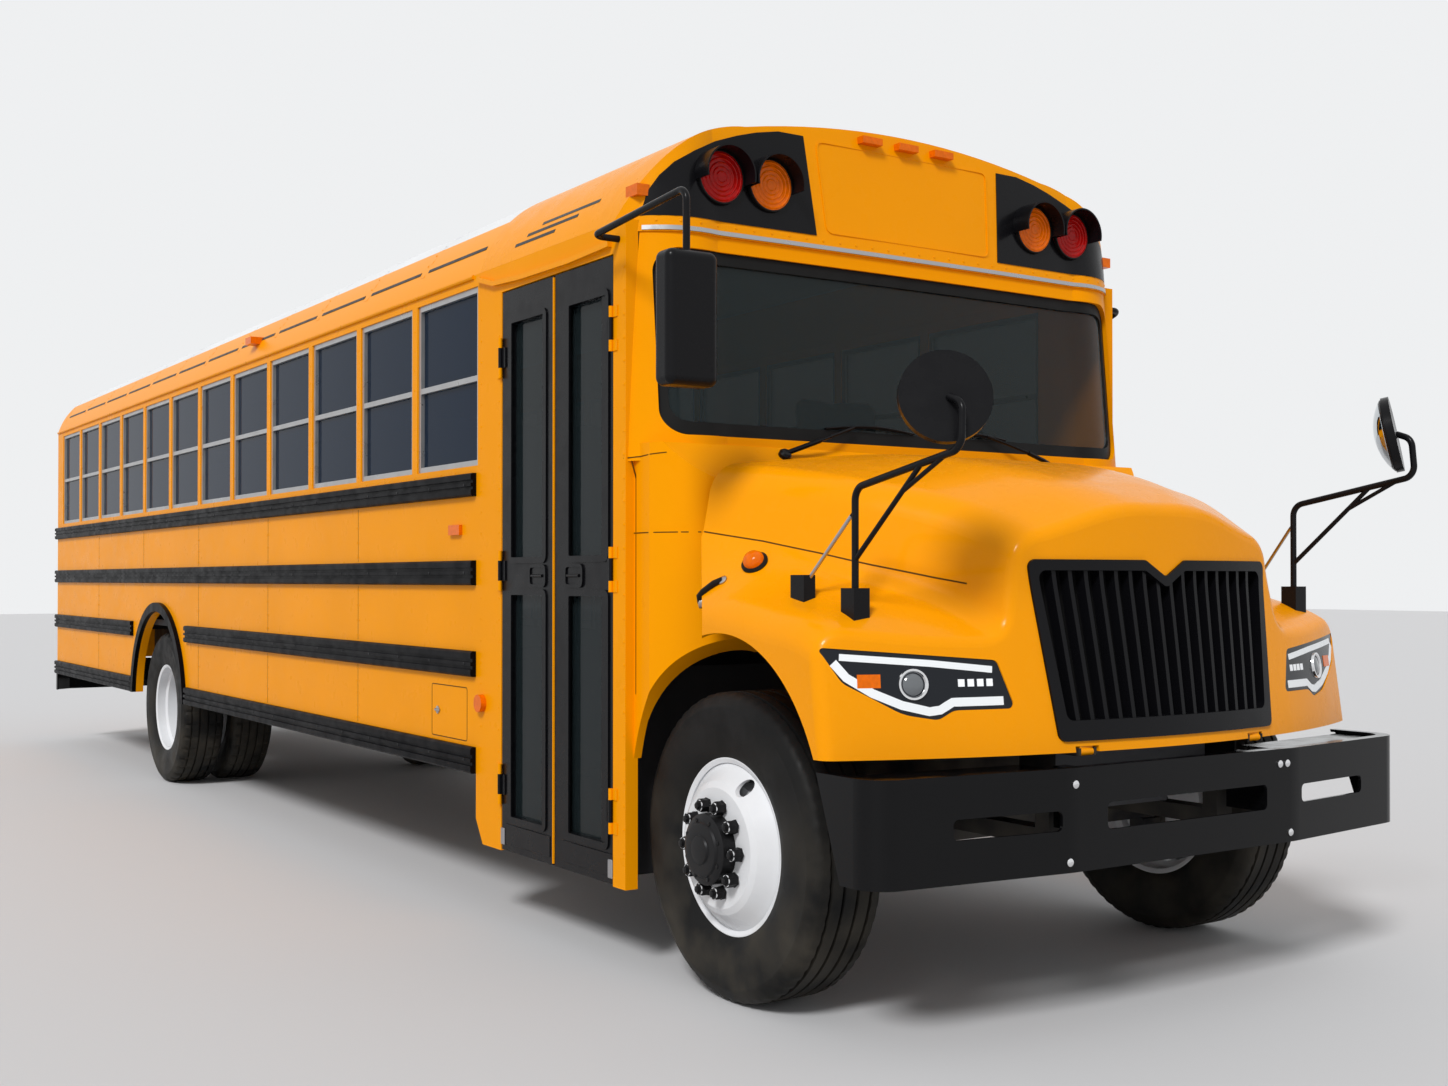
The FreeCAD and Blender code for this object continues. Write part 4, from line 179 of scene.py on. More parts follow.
class Material:
    """A Principled material whose colour, roughness and bump come from a few noises."""

    def __init__(self, name, colour, rough, metal, coat, level, alpha):
        self.made = bpy.data.materials.new(name)
        self.made.use_nodes = True
        self.tree = self.made.node_tree
        self.place = self.add("ShaderNodeTexCoord").outputs["Object"]
        self.colour, self.base, self.rough = None, (*colour, 1.0), rough
        self.shader = preset(self.tree.nodes["Principled BSDF"], {
            "Base Color": self.base, "Roughness": rough, "Metallic": metal, "Coat Weight": coat,
            "Coat Roughness": COAT_ROUGHNESS, "Specular IOR Level": level, "Alpha": alpha})

    def add(self, kind, **values):
        return preset(self.tree.nodes.new(kind), values)

    def link(self, source, target):
        self.tree.links.new(source, target)

    def noise(self, scale, detail=3.0, stretch=None):
        made = self.add("ShaderNodeTexNoise", Scale=scale, Detail=detail)
        place = self.place
        if stretch:
            mapping = self.add("ShaderNodeMapping", Scale=stretch)
            self.link(place, mapping.inputs["Vector"])
            place = mapping.outputs["Vector"]
        self.link(place, made.inputs["Vector"])
        return made.outputs["Fac"]

    def remap(self, value, low, high, to_low=0.0, to_high=1.0):
        made = preset(self.add("ShaderNodeMapRange"), {
            "From Min": low, "From Max": high, "To Min": to_low, "To Max": to_high})
        self.link(value, made.inputs["Value"])
        return made.outputs["Result"]

    def height(self):
        """How high a point is above the ground."""
        made = self.add("ShaderNodeSeparateXYZ")
        self.link(self.place, made.inputs[0])
        return made.outputs["Z"]

    def tint(self, colour, where):
        """Mix another colour in where a value is 1."""
        mix = self.add("ShaderNodeMix")
        mix.data_type = "RGBA"
        if self.colour is None:
            mix.inputs[6].default_value = self.base
        else:
            self.link(self.colour, mix.inputs[6])
        mix.inputs[7].default_value = (*colour, 1.0)
        self.link(where, mix.inputs[0])
        self.colour = mix.outputs[2]
        self.link(self.colour, self.shader.inputs["Base Color"])

    def below(self, line, colour):
        """Another paint below a height."""
        self.tint(colour, self.remap(self.height(), line, line + SHARP_LINE, 1.0, 0.0))

    def mottle(self, scale, strength):
        """Slow changes of shade over the surface."""
        dark = [channel * (1.0 - strength) for channel in self.base[:3]]
        self.tint(dark, self.remap(self.noise(scale), 0.35, 0.65))

    def uneven(self, spread):
        """Roughness that wanders about its own value."""
        low, high = max(self.rough - spread, 0.02), min(self.rough + spread, 1.0)
        self.link(self.remap(self.noise(12.0), 0.3, 0.7, low, high), self.shader.inputs["Roughness"])

    def grain(self, scale, distance, stretch=None):
        """Fine bumps of a depth."""
        made = self.add("ShaderNodeBump", Distance=distance)
        self.link(self.noise(scale, 2.0, stretch), made.inputs["Height"])
        self.link(made.outputs["Normal"], self.shader.inputs["Normal"])

    def dusty(self, top, strength):
        """Patches of road dust that fade out up to a height."""
        both = self.add("ShaderNodeMath")
        both.operation = "MULTIPLY"
        self.link(self.remap(self.height(), DUST_FOOT, top, strength, 0.0), both.inputs[0])
        self.link(self.remap(self.noise(6.0, 5.0), 0.35, 0.7), both.inputs[1])
        self.tint(DUST, both.outputs[0])


def dress(obj, material):
    obj.data.materials.clear()
    obj.data.materials.append(material)


materials, SLOTS = {}, {}  # each look's material, and the record's slot for it


def paint(look, colour, rough, slot=None, on="", uneven=0.0, metal=0.0, coat=0.0, level=0.11, alpha=1.0,
          **treatments):
    """Make a look, and dress the CAD nodes in it that on names. The last are Material's treatments."""
    entry = Material(look, colour, rough, metal, coat, level, alpha)
    for treatment, given in treatments.items():
        getattr(entry, treatment)(*given)
    if uneven:
        entry.uneven(uneven)
    materials[look], SLOTS[look] = entry.made, slot or look
    for name in on.split():
        dress(nodes[name], entry.made)


YELLOW, BLACK, IRON = (0.88, 0.315, 0.0), (0.004, 0.004, 0.005), (0.03, 0.03, 0.032)
ROOF_LINE = 2.868  # height where the white roof meets the yellow side

paint("body_yellow", YELLOW, 0.32, level=0.03, coat=0.02, uneven=0.06, mottle=(1.3, 0.05),
      grain=(260.0, 0.00004), on="right_wall left_wall cowl rear_wall rear_door")
paint("hood_yellow", YELLOW, 0.27, level=0.06, coat=0.1, uneven=0.05, mottle=(1.1, 0.04),
      grain=(220.0, 0.00003), on="hood_and_fenders")
paint("cap_yellow", YELLOW, 0.29, level=0.05, coat=0.06, uneven=0.05, mottle=(1.2, 0.04),
      grain=(240.0, 0.00003), on="front_cap")
paint("roof_paint", (0.78, 0.79, 0.8), 0.35, mottle=(1.5, 0.08), grain=(180.0, 0.0002),
      below=(ROOF_LINE, YELLOW), on="roof")
paint("roof_lap", (0.74, 0.75, 0.76), 0.35, "roof_paint", mottle=(1.5, 0.06), below=(ROOF_LINE, YELLOW))
paint("door_black", BLACK, 0.3, coat=0.06, uneven=0.1, grain=(300.0, 0.0001),
      on="door_leaf_rear door_leaf_front")
paint("bumper_black", (0.0025, 0.0025, 0.003), 0.15, level=0.12, coat=0.14, uneven=0.08,
      grain=(200.0, 0.00015), on="front_bumper rear_bumper")
paint("trim_black", BLACK, 0.3, coat=0.06, uneven=0.08, on="lamp_hoods grille wipers")
paint("mirror_black", (0.007, 0.007, 0.008), 0.26, uneven=0.08, grain=(900.0, 0.00008),
      on="rear_view_mirrors crossview_mirrors")
paint("rail_black", (0.003, 0.003, 0.004), 0.42, level=0.05, uneven=0.1, mottle=(8.0, 0.3), on="rub_rails")
paint("rubber_black", (0.008, 0.008, 0.008), 0.5, "trim_black", uneven=0.1, grain=(400.0, 0.0002))
paint("chassis_black", (0.01, 0.01, 0.011), 0.5, uneven=0.15, dusty=(1.1, 0.35), on="frame_rails")
paint("screen_black", (0.004, 0.004, 0.004), 0.7, "trim_black", grain=(500.0, 0.0005))
paint("panel_black", BLACK, 0.25, "trim_black", coat=0.08, uneven=0.06)
paint("nut_black", (0.02, 0.02, 0.021), 0.4, "axle_iron", metal=0.5, uneven=0.1)
paint("seam_dark", (0.09, 0.035, 0.002), 0.6, "trim_black", uneven=0.1)
paint("strip_grey", (0.035, 0.036, 0.04), 0.45, "trim_black", uneven=0.1)
paint("axle_iron", IRON, 0.55, metal=0.4, uneven=0.15, grain=(120.0, 0.0005), dusty=(1.0, 0.3),
      on="front_axle rear_axle knuckle_right knuckle_left")
paint("engine_grey", (0.1, 0.1, 0.105), 0.6, metal=0.3, uneven=0.15, grain=(60.0, 0.001), on="engine")
paint("radiator_aluminium", (0.16, 0.16, 0.17), 0.5, metal=0.8, grain=(90.0, 0.001, (1.0, 12.0, 1.0)),
      on="radiator")
paint("tank_steel", IRON, 0.4, uneven=0.1, dusty=(1.0, 0.3), on="fuel_tank")
paint("exhaust_steel", (0.28, 0.24, 0.2), 0.55, metal=0.9, uneven=0.15, mottle=(9.0, 0.4), on="exhaust")
paint("window_aluminium", (0.42, 0.42, 0.42), 0.36, metal=0.7, uneven=0.1,
      grain=(400.0, 0.0001, (0.05, 1.0, 1.0)), on="window_frames")
paint("steel", (0.42, 0.42, 0.43), 0.3, "window_aluminium", metal=1.0, uneven=0.1)
paint("chrome", (0.75, 0.75, 0.76), 0.12, "window_aluminium", metal=1.0, uneven=0.05)
paint("wheel_white", (0.74, 0.75, 0.77), 0.32, coat=0.08, uneven=0.08, mottle=(5.0, 0.07), dusty=(1.0, 0.1),
      on="front_wheel_right front_wheel_left rear_wheels_right rear_wheels_left")
paint("tyre_rubber", (0.01, 0.01, 0.01), 0.55, uneven=0.12, mottle=(4.0, 0.3), grain=(350.0, 0.0004),
      dusty=(0.9, 0.1), on="front_tyre_right front_tyre_left rear_tyres_right rear_tyres_left")
paint("floor_rubber", IRON, 0.65, uneven=0.1, grain=(80.0, 0.0008, (1.0, 30.0, 1.0)), on="floor_and_steps")
paint("interior_plastic", (0.06, 0.062, 0.065), 0.55, uneven=0.1, grain=(500.0, 0.0004),
      on="dashboard steering_wheel")
paint("seat_vinyl", (0.035, 0.055, 0.1), 0.45, uneven=0.08, mottle=(6.0, 0.25), grain=(260.0, 0.0001),
      on="seats")
paint("seat_frame", (0.05, 0.05, 0.055), 0.4, "chassis_black", metal=0.5, uneven=0.1)
paint("sign_red", (0.5, 0.008, 0.008), 0.3, coat=0.08, uneven=0.08, on="stop_arm")
paint("sign_white", (0.8, 0.8, 0.8), 0.35, "sign_red", uneven=0.08)
paint("lens_red", (0.42, 0.004, 0.003), 0.14, coat=0.12, mottle=(60.0, 0.22), on="red_lamps")
paint("lens_amber", (0.8, 0.15, 0.0), 0.14, coat=0.12, mottle=(60.0, 0.15), on="amber_lamps")
paint("lamp_shell", (0.012, 0.014, 0.018), 0.2, coat=0.15, uneven=0.05, on="headlamps")
paint("lamp_white", (0.85, 0.88, 0.9), 0.25, "lamp_glass", coat=0.4, uneven=0.05)
paint("lamp_bright", (0.95, 0.97, 1.0), 0.2, "lamp_glass", coat=0.4, uneven=0.05)
paint("lamp_glass", (0.1, 0.11, 0.12), 0.08, coat=0.6, level=0.8, uneven=0.03)
paint("mirror_glass", (0.55, 0.58, 0.6), 0.04, "window_glass", metal=1.0, uneven=0.02)
# Side and rear window glass: its dark blue is partly the glass's own tint and partly a painted reflection of
# blue sky
paint("tint_and_painted_sky_glass", (0.002, 0.012, 0.032), 0.05, level=0.07, alpha=0.86, uneven=0.02,
      on="window_glass rear_door_glass")
paint("door_glass", (0.012, 0.018, 0.02), 0.05, level=0.16, alpha=0.72, uneven=0.02,
      on="door_glass_rear door_glass_front")
paint("clear_glass", (0.02, 0.03, 0.032), 0.04, level=0.2, alpha=0.42, uneven=0.02, on="windscreen")

# --- mesh code ---


def circle(count, start=0.0):
    """Angles evenly round a circle."""
    return [start + 2 * pi * i / count for i in range(count)]


def across_of(axis):
    """Two directions square to an axis and to each other."""
    axis = axis.normalized()
    first = axis.cross(UP if abs(axis.z) < 0.9 else FORWARD).normalized()
    return first, axis.cross(first).normalized()


class Form:
    """Closed forms gathered into one piece."""

    def __init__(self):
        self.mesh = bmesh.new()

    def loft(self, rings, caps=True):
        """A skin over rings, closed by end caps or back to the first ring."""
        made = [[self.mesh.verts.new(point) for point in ring] for ring in rings]
        count = len(made[0])
        for one, two in zip(made, made[1:] if caps else made[1:] + made[:1]):
            for i in range(count):
                j = (i + 1) % count
                self.mesh.faces.new((one[i], one[j], two[j], two[i]))
        if caps:
            self.mesh.faces.new(made[0][::-1])
            self.mesh.faces.new(made[-1])

    def slab(self, outline, push):
        """A plate with an outline, thickened by a vector."""
        self.loft([outline, [point + push for point in outline]])

    def block(self, low, high, bevel):
        """A box between two corners, its edges softened."""
        (x0, y0, z0), (x1, y1, z1) = low, high
        k = min(bevel, (x1 - x0) / 3, (y1 - y0) / 3, (z1 - z0) / 3)
        rings = []
        for z, shrink in ((z0, k), (z0 + k, 0.0), (z1 - k, 0.0), (z1, k)):
            a, b, c, d = x0 + shrink, x1 - shrink, y0 + shrink, y1 - shrink
            rings.append([Vector((x, y, z)) for x, y in (
                (a + k, c), (b - k, c), (b, c + k), (b, d - k),
                (b - k, d), (a + k, d), (a, d - k), (a, c + k))])
        self.loft(rings)

    def lathe(self, profile, centre, axis, sides=24, ring=False, start=0.0):
        """A turned form: profile rows are radius and height along the axis."""
        up = axis.normalized()
        u, v = across_of(axis)
        self.loft([[centre + up * height + (u * c + v * s) * max(radius, 0.0004)
                    for c, s in map(turn, circle(sides, start))]
                   for radius, height in profile], caps=not ring)

    def tube(self, path, radius, sides=10):
        """A round bar along points, each ring turned as little as the path allows."""
        rings = []
        for index, point in enumerate(path):
            heading = path[min(index + 1, len(path) - 1)] - path[max(index - 1, 0)]
            u, v = across_of(heading)
            if rings:
                heading = heading.normalized()
                last = (rings[-1][0] - path[index - 1]).normalized()
                u = (last - heading * last.dot(heading)).normalized()
                v = heading.cross(u)
            rings.append([point + (u * c + v * s) * radius for c, s in map(turn, circle(sides))])
        self.loft(rings)

    def strip(self, rows, width, lift=0.0008, sink=0.003, closed=False):
        """A flat band along rows of (point, outward direction). Rows that found no skin are left out."""
        rows = [row for row in rows if row[0] is not None]
        rings = []
        last = len(rows) - 1
        for index, (point, out) in enumerate(rows):
            back = rows[index - 1 if closed else max(index - 1, 0)][0]
            ahead = rows[(index + 1) % len(rows) if closed else min(index + 1, last)][0]
            side = (ahead - back).cross(out).normalized() * width / 2
            rings.append([point - side - out * sink, point - side + out * lift,
                          point + side + out * lift, point + side - out * sink])
        self.loft(rings, caps=not closed)

    def stud(self, point, out, radius=0.006, height=0.003, sides=6):
        """A rivet's head."""
        self.lathe(((radius, -0.001), (radius * 0.85, height * 0.6), (radius * 0.45, height)),
                   point, out, sides)

    def patch(self, rows, push):
        """A thin shell over rows of points, thickened by a vector."""
        top = [[self.mesh.verts.new(point + push) for point in row] for row in rows]
        low = [[self.mesh.verts.new(point) for point in row] for row in rows]
        for sheet, order in ((top, 1), (low, -1)):
            for one, two in zip(sheet, sheet[1:]):
                for i in range(len(one) - 1):
                    self.mesh.faces.new((one[i], one[i + 1], two[i + 1], two[i])[::order])
        end, far = len(rows) - 1, len(rows[0]) - 1
        rim = [(0, i) for i in range(far)] + [(j, far) for j in range(end)]
        rim += [(end, i) for i in range(far, 0, -1)] + [(j, 0) for j in range(end, 0, -1)]
        for (a, b), (c, d) in zip(rim, rim[1:] + rim[:1]):
            self.mesh.faces.new((top[a][b], low[a][b], low[c][d], top[c][d]))

    def both(self):
        """Add the same on the bus's other side."""
        geometry = self.mesh.verts[:] + self.mesh.edges[:] + self.mesh.faces[:]
        made = bmesh.ops.duplicate(self.mesh, geom=geometry)["geom"]
        for item in made:
            if isinstance(item, bmesh.types.BMVert):
                item.co.y = -item.co.y
        faces = [item for item in made if isinstance(item, bmesh.types.BMFace)]
        bmesh.ops.reverse_faces(self.mesh, faces=faces)
        return self

    def shape(self, name):
        """The object made of these forms."""
        bmesh.ops.recalc_face_normals(self.mesh, faces=self.mesh.faces[:])
        data = bpy.data.meshes.new(name)
        self.mesh.to_mesh(data)
        self.mesh.free()
        made = bpy.data.objects.new(name, data)
        scene.collection.objects.link(made)
        return made

    def done(self, name, look, body="bus", sharp=35.0):
        """The finished piece. Edges past an angle in degrees stay sharp, or none if it is 0."""
        made = self.shape(name)
        made.data.shade_smooth()
        if sharp:
            made.data.set_sharp_from_angle(angle=radians(sharp))
        dress(made, materials[look])
        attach(made, body)
        return made


class Skin:
    """The outside of some CAD nodes, to lay pieces on."""

    def __init__(self, *names):
        points, faces = [], []
        for name in names:
            base = len(points)
            place = nodes[name].matrix_world
            points += [place @ vertex.co for vertex in nodes[name].data.vertices]
            faces += [[base + i for i in face.vertices] for face in nodes[name].data.polygons]
        self.tree = BVHTree.FromPolygons(points, faces)

    def hit(self, start, direction):
        """Where a ray meets the skin, and the direction out of it. Both are None if it misses."""
        point, out, _, _ = self.tree.ray_cast(start, direction)
        if point is not None and out.dot(direction) > 0:
            out = -out
        return point, out

    def from_front(self, y, z):
        return self.hit(at(2.0, y, z), -FORWARD)

    def from_rear(self, y, z):
        return self.hit(at(-12.0, y, z), FORWARD)

    def from_side(self, x, z, side):
        return self.hit(at(x, side * 3.0, z), Vector((0, -side, 0)))


def spread(start, end, count):
    """Numbers evenly from start to end, both included."""
    return [start + (end - start) * i / count for i in range(count + 1)]


def along(points, step):
    """Points every step or less along straight legs."""
    made = [Vector(points[0])]
    for a, b in zip(points, points[1:]):
        a, b = Vector(a), Vector(b)
        count = max(int((b - a).length / step), 1)
        made += [a.lerp(b, i / count) for i in range(1, count + 1)]
    return made


def rounded_path(corners, radius, steps):
    """A closed path in two axes with rounded corners."""
    made = []
    for index, corner in enumerate(corners):
        corner = Vector(corner)
        back = (Vector(corners[index - 1]) - corner).normalized()
        ahead = (Vector(corners[(index + 1) % len(corners)]) - corner).normalized()
        reach = radius / tan(max(back.angle(ahead) / 2, 0.05))
        first, last = corner + back * reach, corner + ahead * reach
        for i in range(steps + 1):
            t = i / steps
            made.append(first.lerp(corner, t).lerp(corner.lerp(last, t), t))
    return made


def rounded_box(a, low, b, high, radius, steps):
    """A closed path round a rectangle, its corners rounded."""
    return rounded_path(((a, low), (b, low), (b, high), (a, high)), radius, steps)


# --- hood and nose ---

# x and z along the joint between the hood and the fenders
HOOD_JOINT = ((-0.186, 1.537), (0.036, 1.502), (0.23, 1.461), (0.387, 1.422), (0.561, 1.381), (0.65, 1.363))
# y and z along the right lamp's white bands
LAMP_TOP = ((-0.698, 1.106), (-0.89, 1.127), (-1.064, 1.141), (-1.15, 1.148))
LAMP_FOOT = ((-1.168, 1.132), (-1.135, 1.088), (-1.066, 1.042), (-0.985, 1.006), (-0.905, 0.986),
             (-0.872, 0.99), (-0.832, 1.012), (-0.67, 1.013))
PROJECTOR_AT = (-0.946, 1.066)
NOSE_BEND = 2.8  # radius of the nose's crown, seen from above
NOSE_X, NOSE_TOP_Z, NOSE_LEAN = 0.844, 1.386, 0.1335
SCREEN_BACK = 0.062  # the screen behind the grille's slats


def hood_joint():
    """The dark joint between the hood and the fenders."""
    skin, form = Skin("hood_and_fenders"), Form()
    for side in SIDES:
        form.strip([skin.from_side(*spot, side) for spot in along(HOOD_JOINT, 0.03)], 0.005)
    form.done("hood_joint", "seam_dark", "hood")


def lamp_insides():
    """The white bands, diodes, amber block and projector behind each headlamp's lens."""
    lamp = Skin("headlamps")
    white, diodes, amber, ring, lens = (Form() for _ in range(5))
    for path, width in ((LAMP_TOP, 0.02), (LAMP_FOOT, 0.026)):
        white.strip([lamp.from_front(*spot) for spot in along(path, 0.012)], width, 0.0016)
    for index in range(4):
        y = -0.71 - 0.03 * index
        diodes.strip([lamp.from_front(y + shift, 1.068) for shift in (-0.01, -0.003, 0.003, 0.01)],
                     0.022, 0.002)
    amber.strip([lamp.from_front(-1.04 - 0.011 * index, 1.077) for index in range(7)], 0.04, 0.0018)
    centre, facing = lamp.from_front(*PROJECTOR_AT)
    ring.lathe(((0.036, 0.002), (0.04, 0.007), (0.046, 0.007), (0.049, -0.004), (0.036, -0.006)),
               centre, facing, 32, ring=True)
    lens.lathe(((0.0363, -0.004), (0.03, 0.003), (0.018, 0.006), (0.0, 0.0072)), centre, facing, 32)
    white.both().done("lamp_bands", "lamp_white", "hood")
    diodes.both().done("lamp_diodes", "lamp_bright", "hood")
    amber.both().done("lamp_reflectors", "lens_amber", "hood")
    ring.both().done("lamp_rings", "chrome", "hood")
    lens.both().done("lamp_projectors", "lamp_glass", "hood")


def grille_screen():
    """A dark screen that follows the crowned nose behind the grille."""
    rows = []
    for z in (0.905, 1.1, 1.3, 1.42):
        half = 0.5 + 0.1 * (z - 0.9)
        x = NOSE_X + max(0.0, NOSE_LEAN * (NOSE_TOP_Z - z)) - NOSE_BEND - SCREEN_BACK
        rows.append([at(x + sqrt(NOSE_BEND ** 2 - (share * half) ** 2), share * half, z)
                     for share in (-1.0, -0.6, -0.2, 0.2, 0.6, 1.0)])
    form = Form()
    form.patch(rows, FORWARD * 0.004)
    form.done("grille_screen", "screen_black", "hood")


def hood_fittings():
    """The turn lamp and the rubber latch on each side of the hood."""
    rubber, amber, steel = Form(), Form(), Form()
    joint = Skin("hood_and_fenders", "cowl")
    point, out = joint.from_side(0.065, 1.429, -1.0)
    rubber.lathe(((0.044, -0.004), (0.046, 0.006), (0.04, 0.012), (0.03, 0.013)), point, out)
    amber.lathe(((0.036, 0.01), (0.035, 0.022), (0.026, 0.034), (0.012, 0.04), (0.0, 0.041)), point, out)
    low, low_out = joint.from_side(-0.092, 1.3, -1.0)
    high, high_out = joint.from_side(-0.008, 1.372, -1.0)
    middle = low.lerp(high, 0.5) + low_out * 0.03
    rubber.tube([low + low_out * 0.004, low.lerp(middle, 0.6) + low_out * 0.01, middle,
                 middle.lerp(high, 0.6) + high_out * 0.008, high + high_out * 0.004], 0.011)
    steel.lathe(((0.017, -0.002), (0.017, 0.006), (0.01, 0.009)), high, high_out, 12)
    steel.lathe(((0.02, -0.002), (0.02, 0.008), (0.012, 0.012)), low, low_out, 12)
    rubber.both().done("hood_latches", "rubber_black", "hood")
    amber.both().done("hood_turn_lamps", "lens_amber", "hood")
    steel.both().done("hood_latch_plates", "steel", "hood")


def bumper_bolts():
    skin, form = Skin("front_bumper"), Form()
    for y, z in ((-0.513, 0.766), (-0.535, 0.536), (0.474, 0.766), (0.437, 0.766), (0.49, 0.536)):
        point, out = skin.from_front(y, z)
        form.lathe(((0.0125, -0.001), (0.0125, 0.005), (0.009, 0.0085), (0.004, 0.0095)), point, out, 12)
    form.done("bumper_bolts", "chrome")


# --- windscreen, cap and cowl ---

# outer edge of the cap's black lamp panels, from the foot up: z, then y
CAP_OUTER = ((2.655, 1.165), (2.745, 1.14), (2.8, 1.105), (2.85, 1.055), (2.9, 0.975),
             (2.95, 0.88), (2.985, 0.785), (3.01, 0.7), (3.03, 0.6))
CAP_FOOT_Z, CAP_CLEAR_Y = 2.68, 0.3  # a height below the lamps' openings, and a y between them
WARNING_LAMPS = (("red", 0.878), ("amber", 0.662))  # colour, y
# x and z of the warning lamps' faces, and which way they look
LAMP_FACES = ((-0.4078, 2.813, 1.0), (-10.3002, 2.74, -1.0))


def windscreen_gasket():
    """Rubber round the glass, turned outwards where the screen curves back."""
    skin, form = Skin("cowl", "windscreen"), Form()
    path = rounded_box(-1.112, 1.904, 1.112, 2.521, 0.1, 8)
    rows = []
    for spot in along(path + path[:1], 0.03)[:-1]:
        point, _ = skin.from_front(*spot)
        lean = max(abs(spot.x) - 0.8, 0.0) * 2.2
        rows.append((point, Vector((1.0, copysign(lean, spot.x), 0.12)).normalized()))
    form.strip(rows, 0.046, 0.007, 0.01, closed=True)
    form.done("windscreen_gasket", "rubber_black")


def cap_surface(skin, y, z):
    """The cap's face, carried over its lamp openings."""
    low, here, base = (skin.from_front(*spot)[0] for spot in (
        (y, CAP_FOOT_Z), (CAP_CLEAR_Y, z), (CAP_CLEAR_Y, CAP_FOOT_Z)))
    return Vector((low.x + here.x - base.x, y, z))


def cap_panels():
    """The black panels round the warning lamps, and the raised edge of the blank sign."""
    skin = Skin("front_cap")
    panels, edge = Form(), Form()
    rows = []
    for z, outer in CAP_OUTER:
        inner = 0.452 + (z - 2.617) * 0.085
        rows.append([cap_surface(skin, y, z) for y in spread(inner, outer, 14)])
    panels.patch(rows, FORWARD * 0.0035)
    panels.both().done("cap_panels", "panel_black")
    outline = ((-0.405, 2.672), (0.405, 2.672), (0.428, 3.02), (-0.428, 3.02))
    edge.strip([skin.from_front(*spot) for spot in rounded_path(outline, 0.03, 4)],
               0.006, 0.004, 0.003, closed=True)
    edge.done("sign_edge", "cap_yellow")


def cap_lip():
    """Aluminium trim and a row of rivets along the cap's lower edge."""
    skin = Skin("front_cap")
    trim, studs = Form(), Form()
    places = spread(-1.16, 1.16, 60)
    trim.strip([skin.from_front(y, 2.612) for y in places], 0.016, 0.004)
    for y in places[1::2]:
        studs.stud(*skin.from_front(y, 2.638))
    trim.done("cap_trim", "steel")
    studs.done("cap_rivets", "cap_yellow")


def lamp_faces(y, sunk=0.0):
    """The middle and outward direction of four warning lamps, set back from their faces."""
    return [(at(x - way * sunk, side * y, z), FORWARD * way) for side in SIDES for x, z, way in LAMP_FACES]


def lamp_lenses():
    """Ribbed lens faces and rubber rims on the round warning lamps."""
    rims = Form()
    for colour, y in WARNING_LAMPS:
        ribs = Form()
        for centre, out in lamp_faces(y):
            for radius in (0.02, 0.036, 0.052, 0.068, 0.084):
                ribs.lathe(((radius - 0.0045, -0.001), (radius, 0.0022), (radius + 0.0045, -0.001)),
                           centre, out, 32, ring=True)
        ribs.done(colour + "_lens_rings", "lens_" + colour)
        for centre, out in lamp_faces(y, 0.0001):
            rims.lathe(((0.0905, -0.014), (0.0905, 0.002), (0.096, 0.002), (0.096, -0.014)),
                       centre, out, 40, ring=True)
    rims.done("lamp_rims", "rubber_black")


def cowl_joints():
    """Panel joints beside the windscreen, and rivets up the front corner posts."""
    skin = Skin("cowl", "right_wall", "left_wall")
    seams, studs = Form(), Form()
    for side in SIDES:
        for path, step in ((((-0.5, 1.538), (-0.245, 1.538)), 0.03),
                           (((-0.515, 1.8), (-0.33, 1.812)), 0.03),
                           (((-0.486, 0.975), (-0.486, 1.79)), 0.06)):
            seams.strip([skin.from_side(*spot, side) for spot in along(path, step)], 0.004)
        for index in range(26):
            point, out = skin.from_side(-0.512, 0.42 + 0.082 * index, side)
            if point:
                studs.stud(point, out)
    seams.done("cowl_joints", "seam_dark")
    studs.done("post_rivets", "body_yellow")


# --- body sides and roof ---

PITCH, WINDOW_FRONT = 0.6985, -1.722
PILLAR_AHEAD = 0.029  # middle of a pillar ahead of its window's front edge
ARCH_TOP, ARCH_REAR, ARCH_FRONT = 1.25, -7.6, -6.12
BANDS = ((1.462, 1.714), (1.086, 1.345), (0.69, 0.966))  # yellow between the rub rails
LONG_RAIL, CUT_RAIL = ((-10.2, -1.8),), ((-6.1, -1.8), (-10.2, -7.62))
RAIL_BOLTS = ((1.769, LONG_RAIL), (1.4035, LONG_RAIL), (1.026, CUT_RAIL), (0.6285, CUT_RAIL))
RAIL_FACE, RAIL_BOLT_PITCH = 1.2445, 0.35
SMALL_RIVET, TINY_RIVET = (0.0045, 0.0022), (0.004, 0.002)  # radius, height
ROOF_AXIS_Z = 2.3
LAP = 0.0016  # how far a roof lap stands up


def pillar(index):
    """Middle of the wall between window index - 1 and window index."""
    return WINDOW_FRONT - PITCH * index + PILLAR_AHEAD


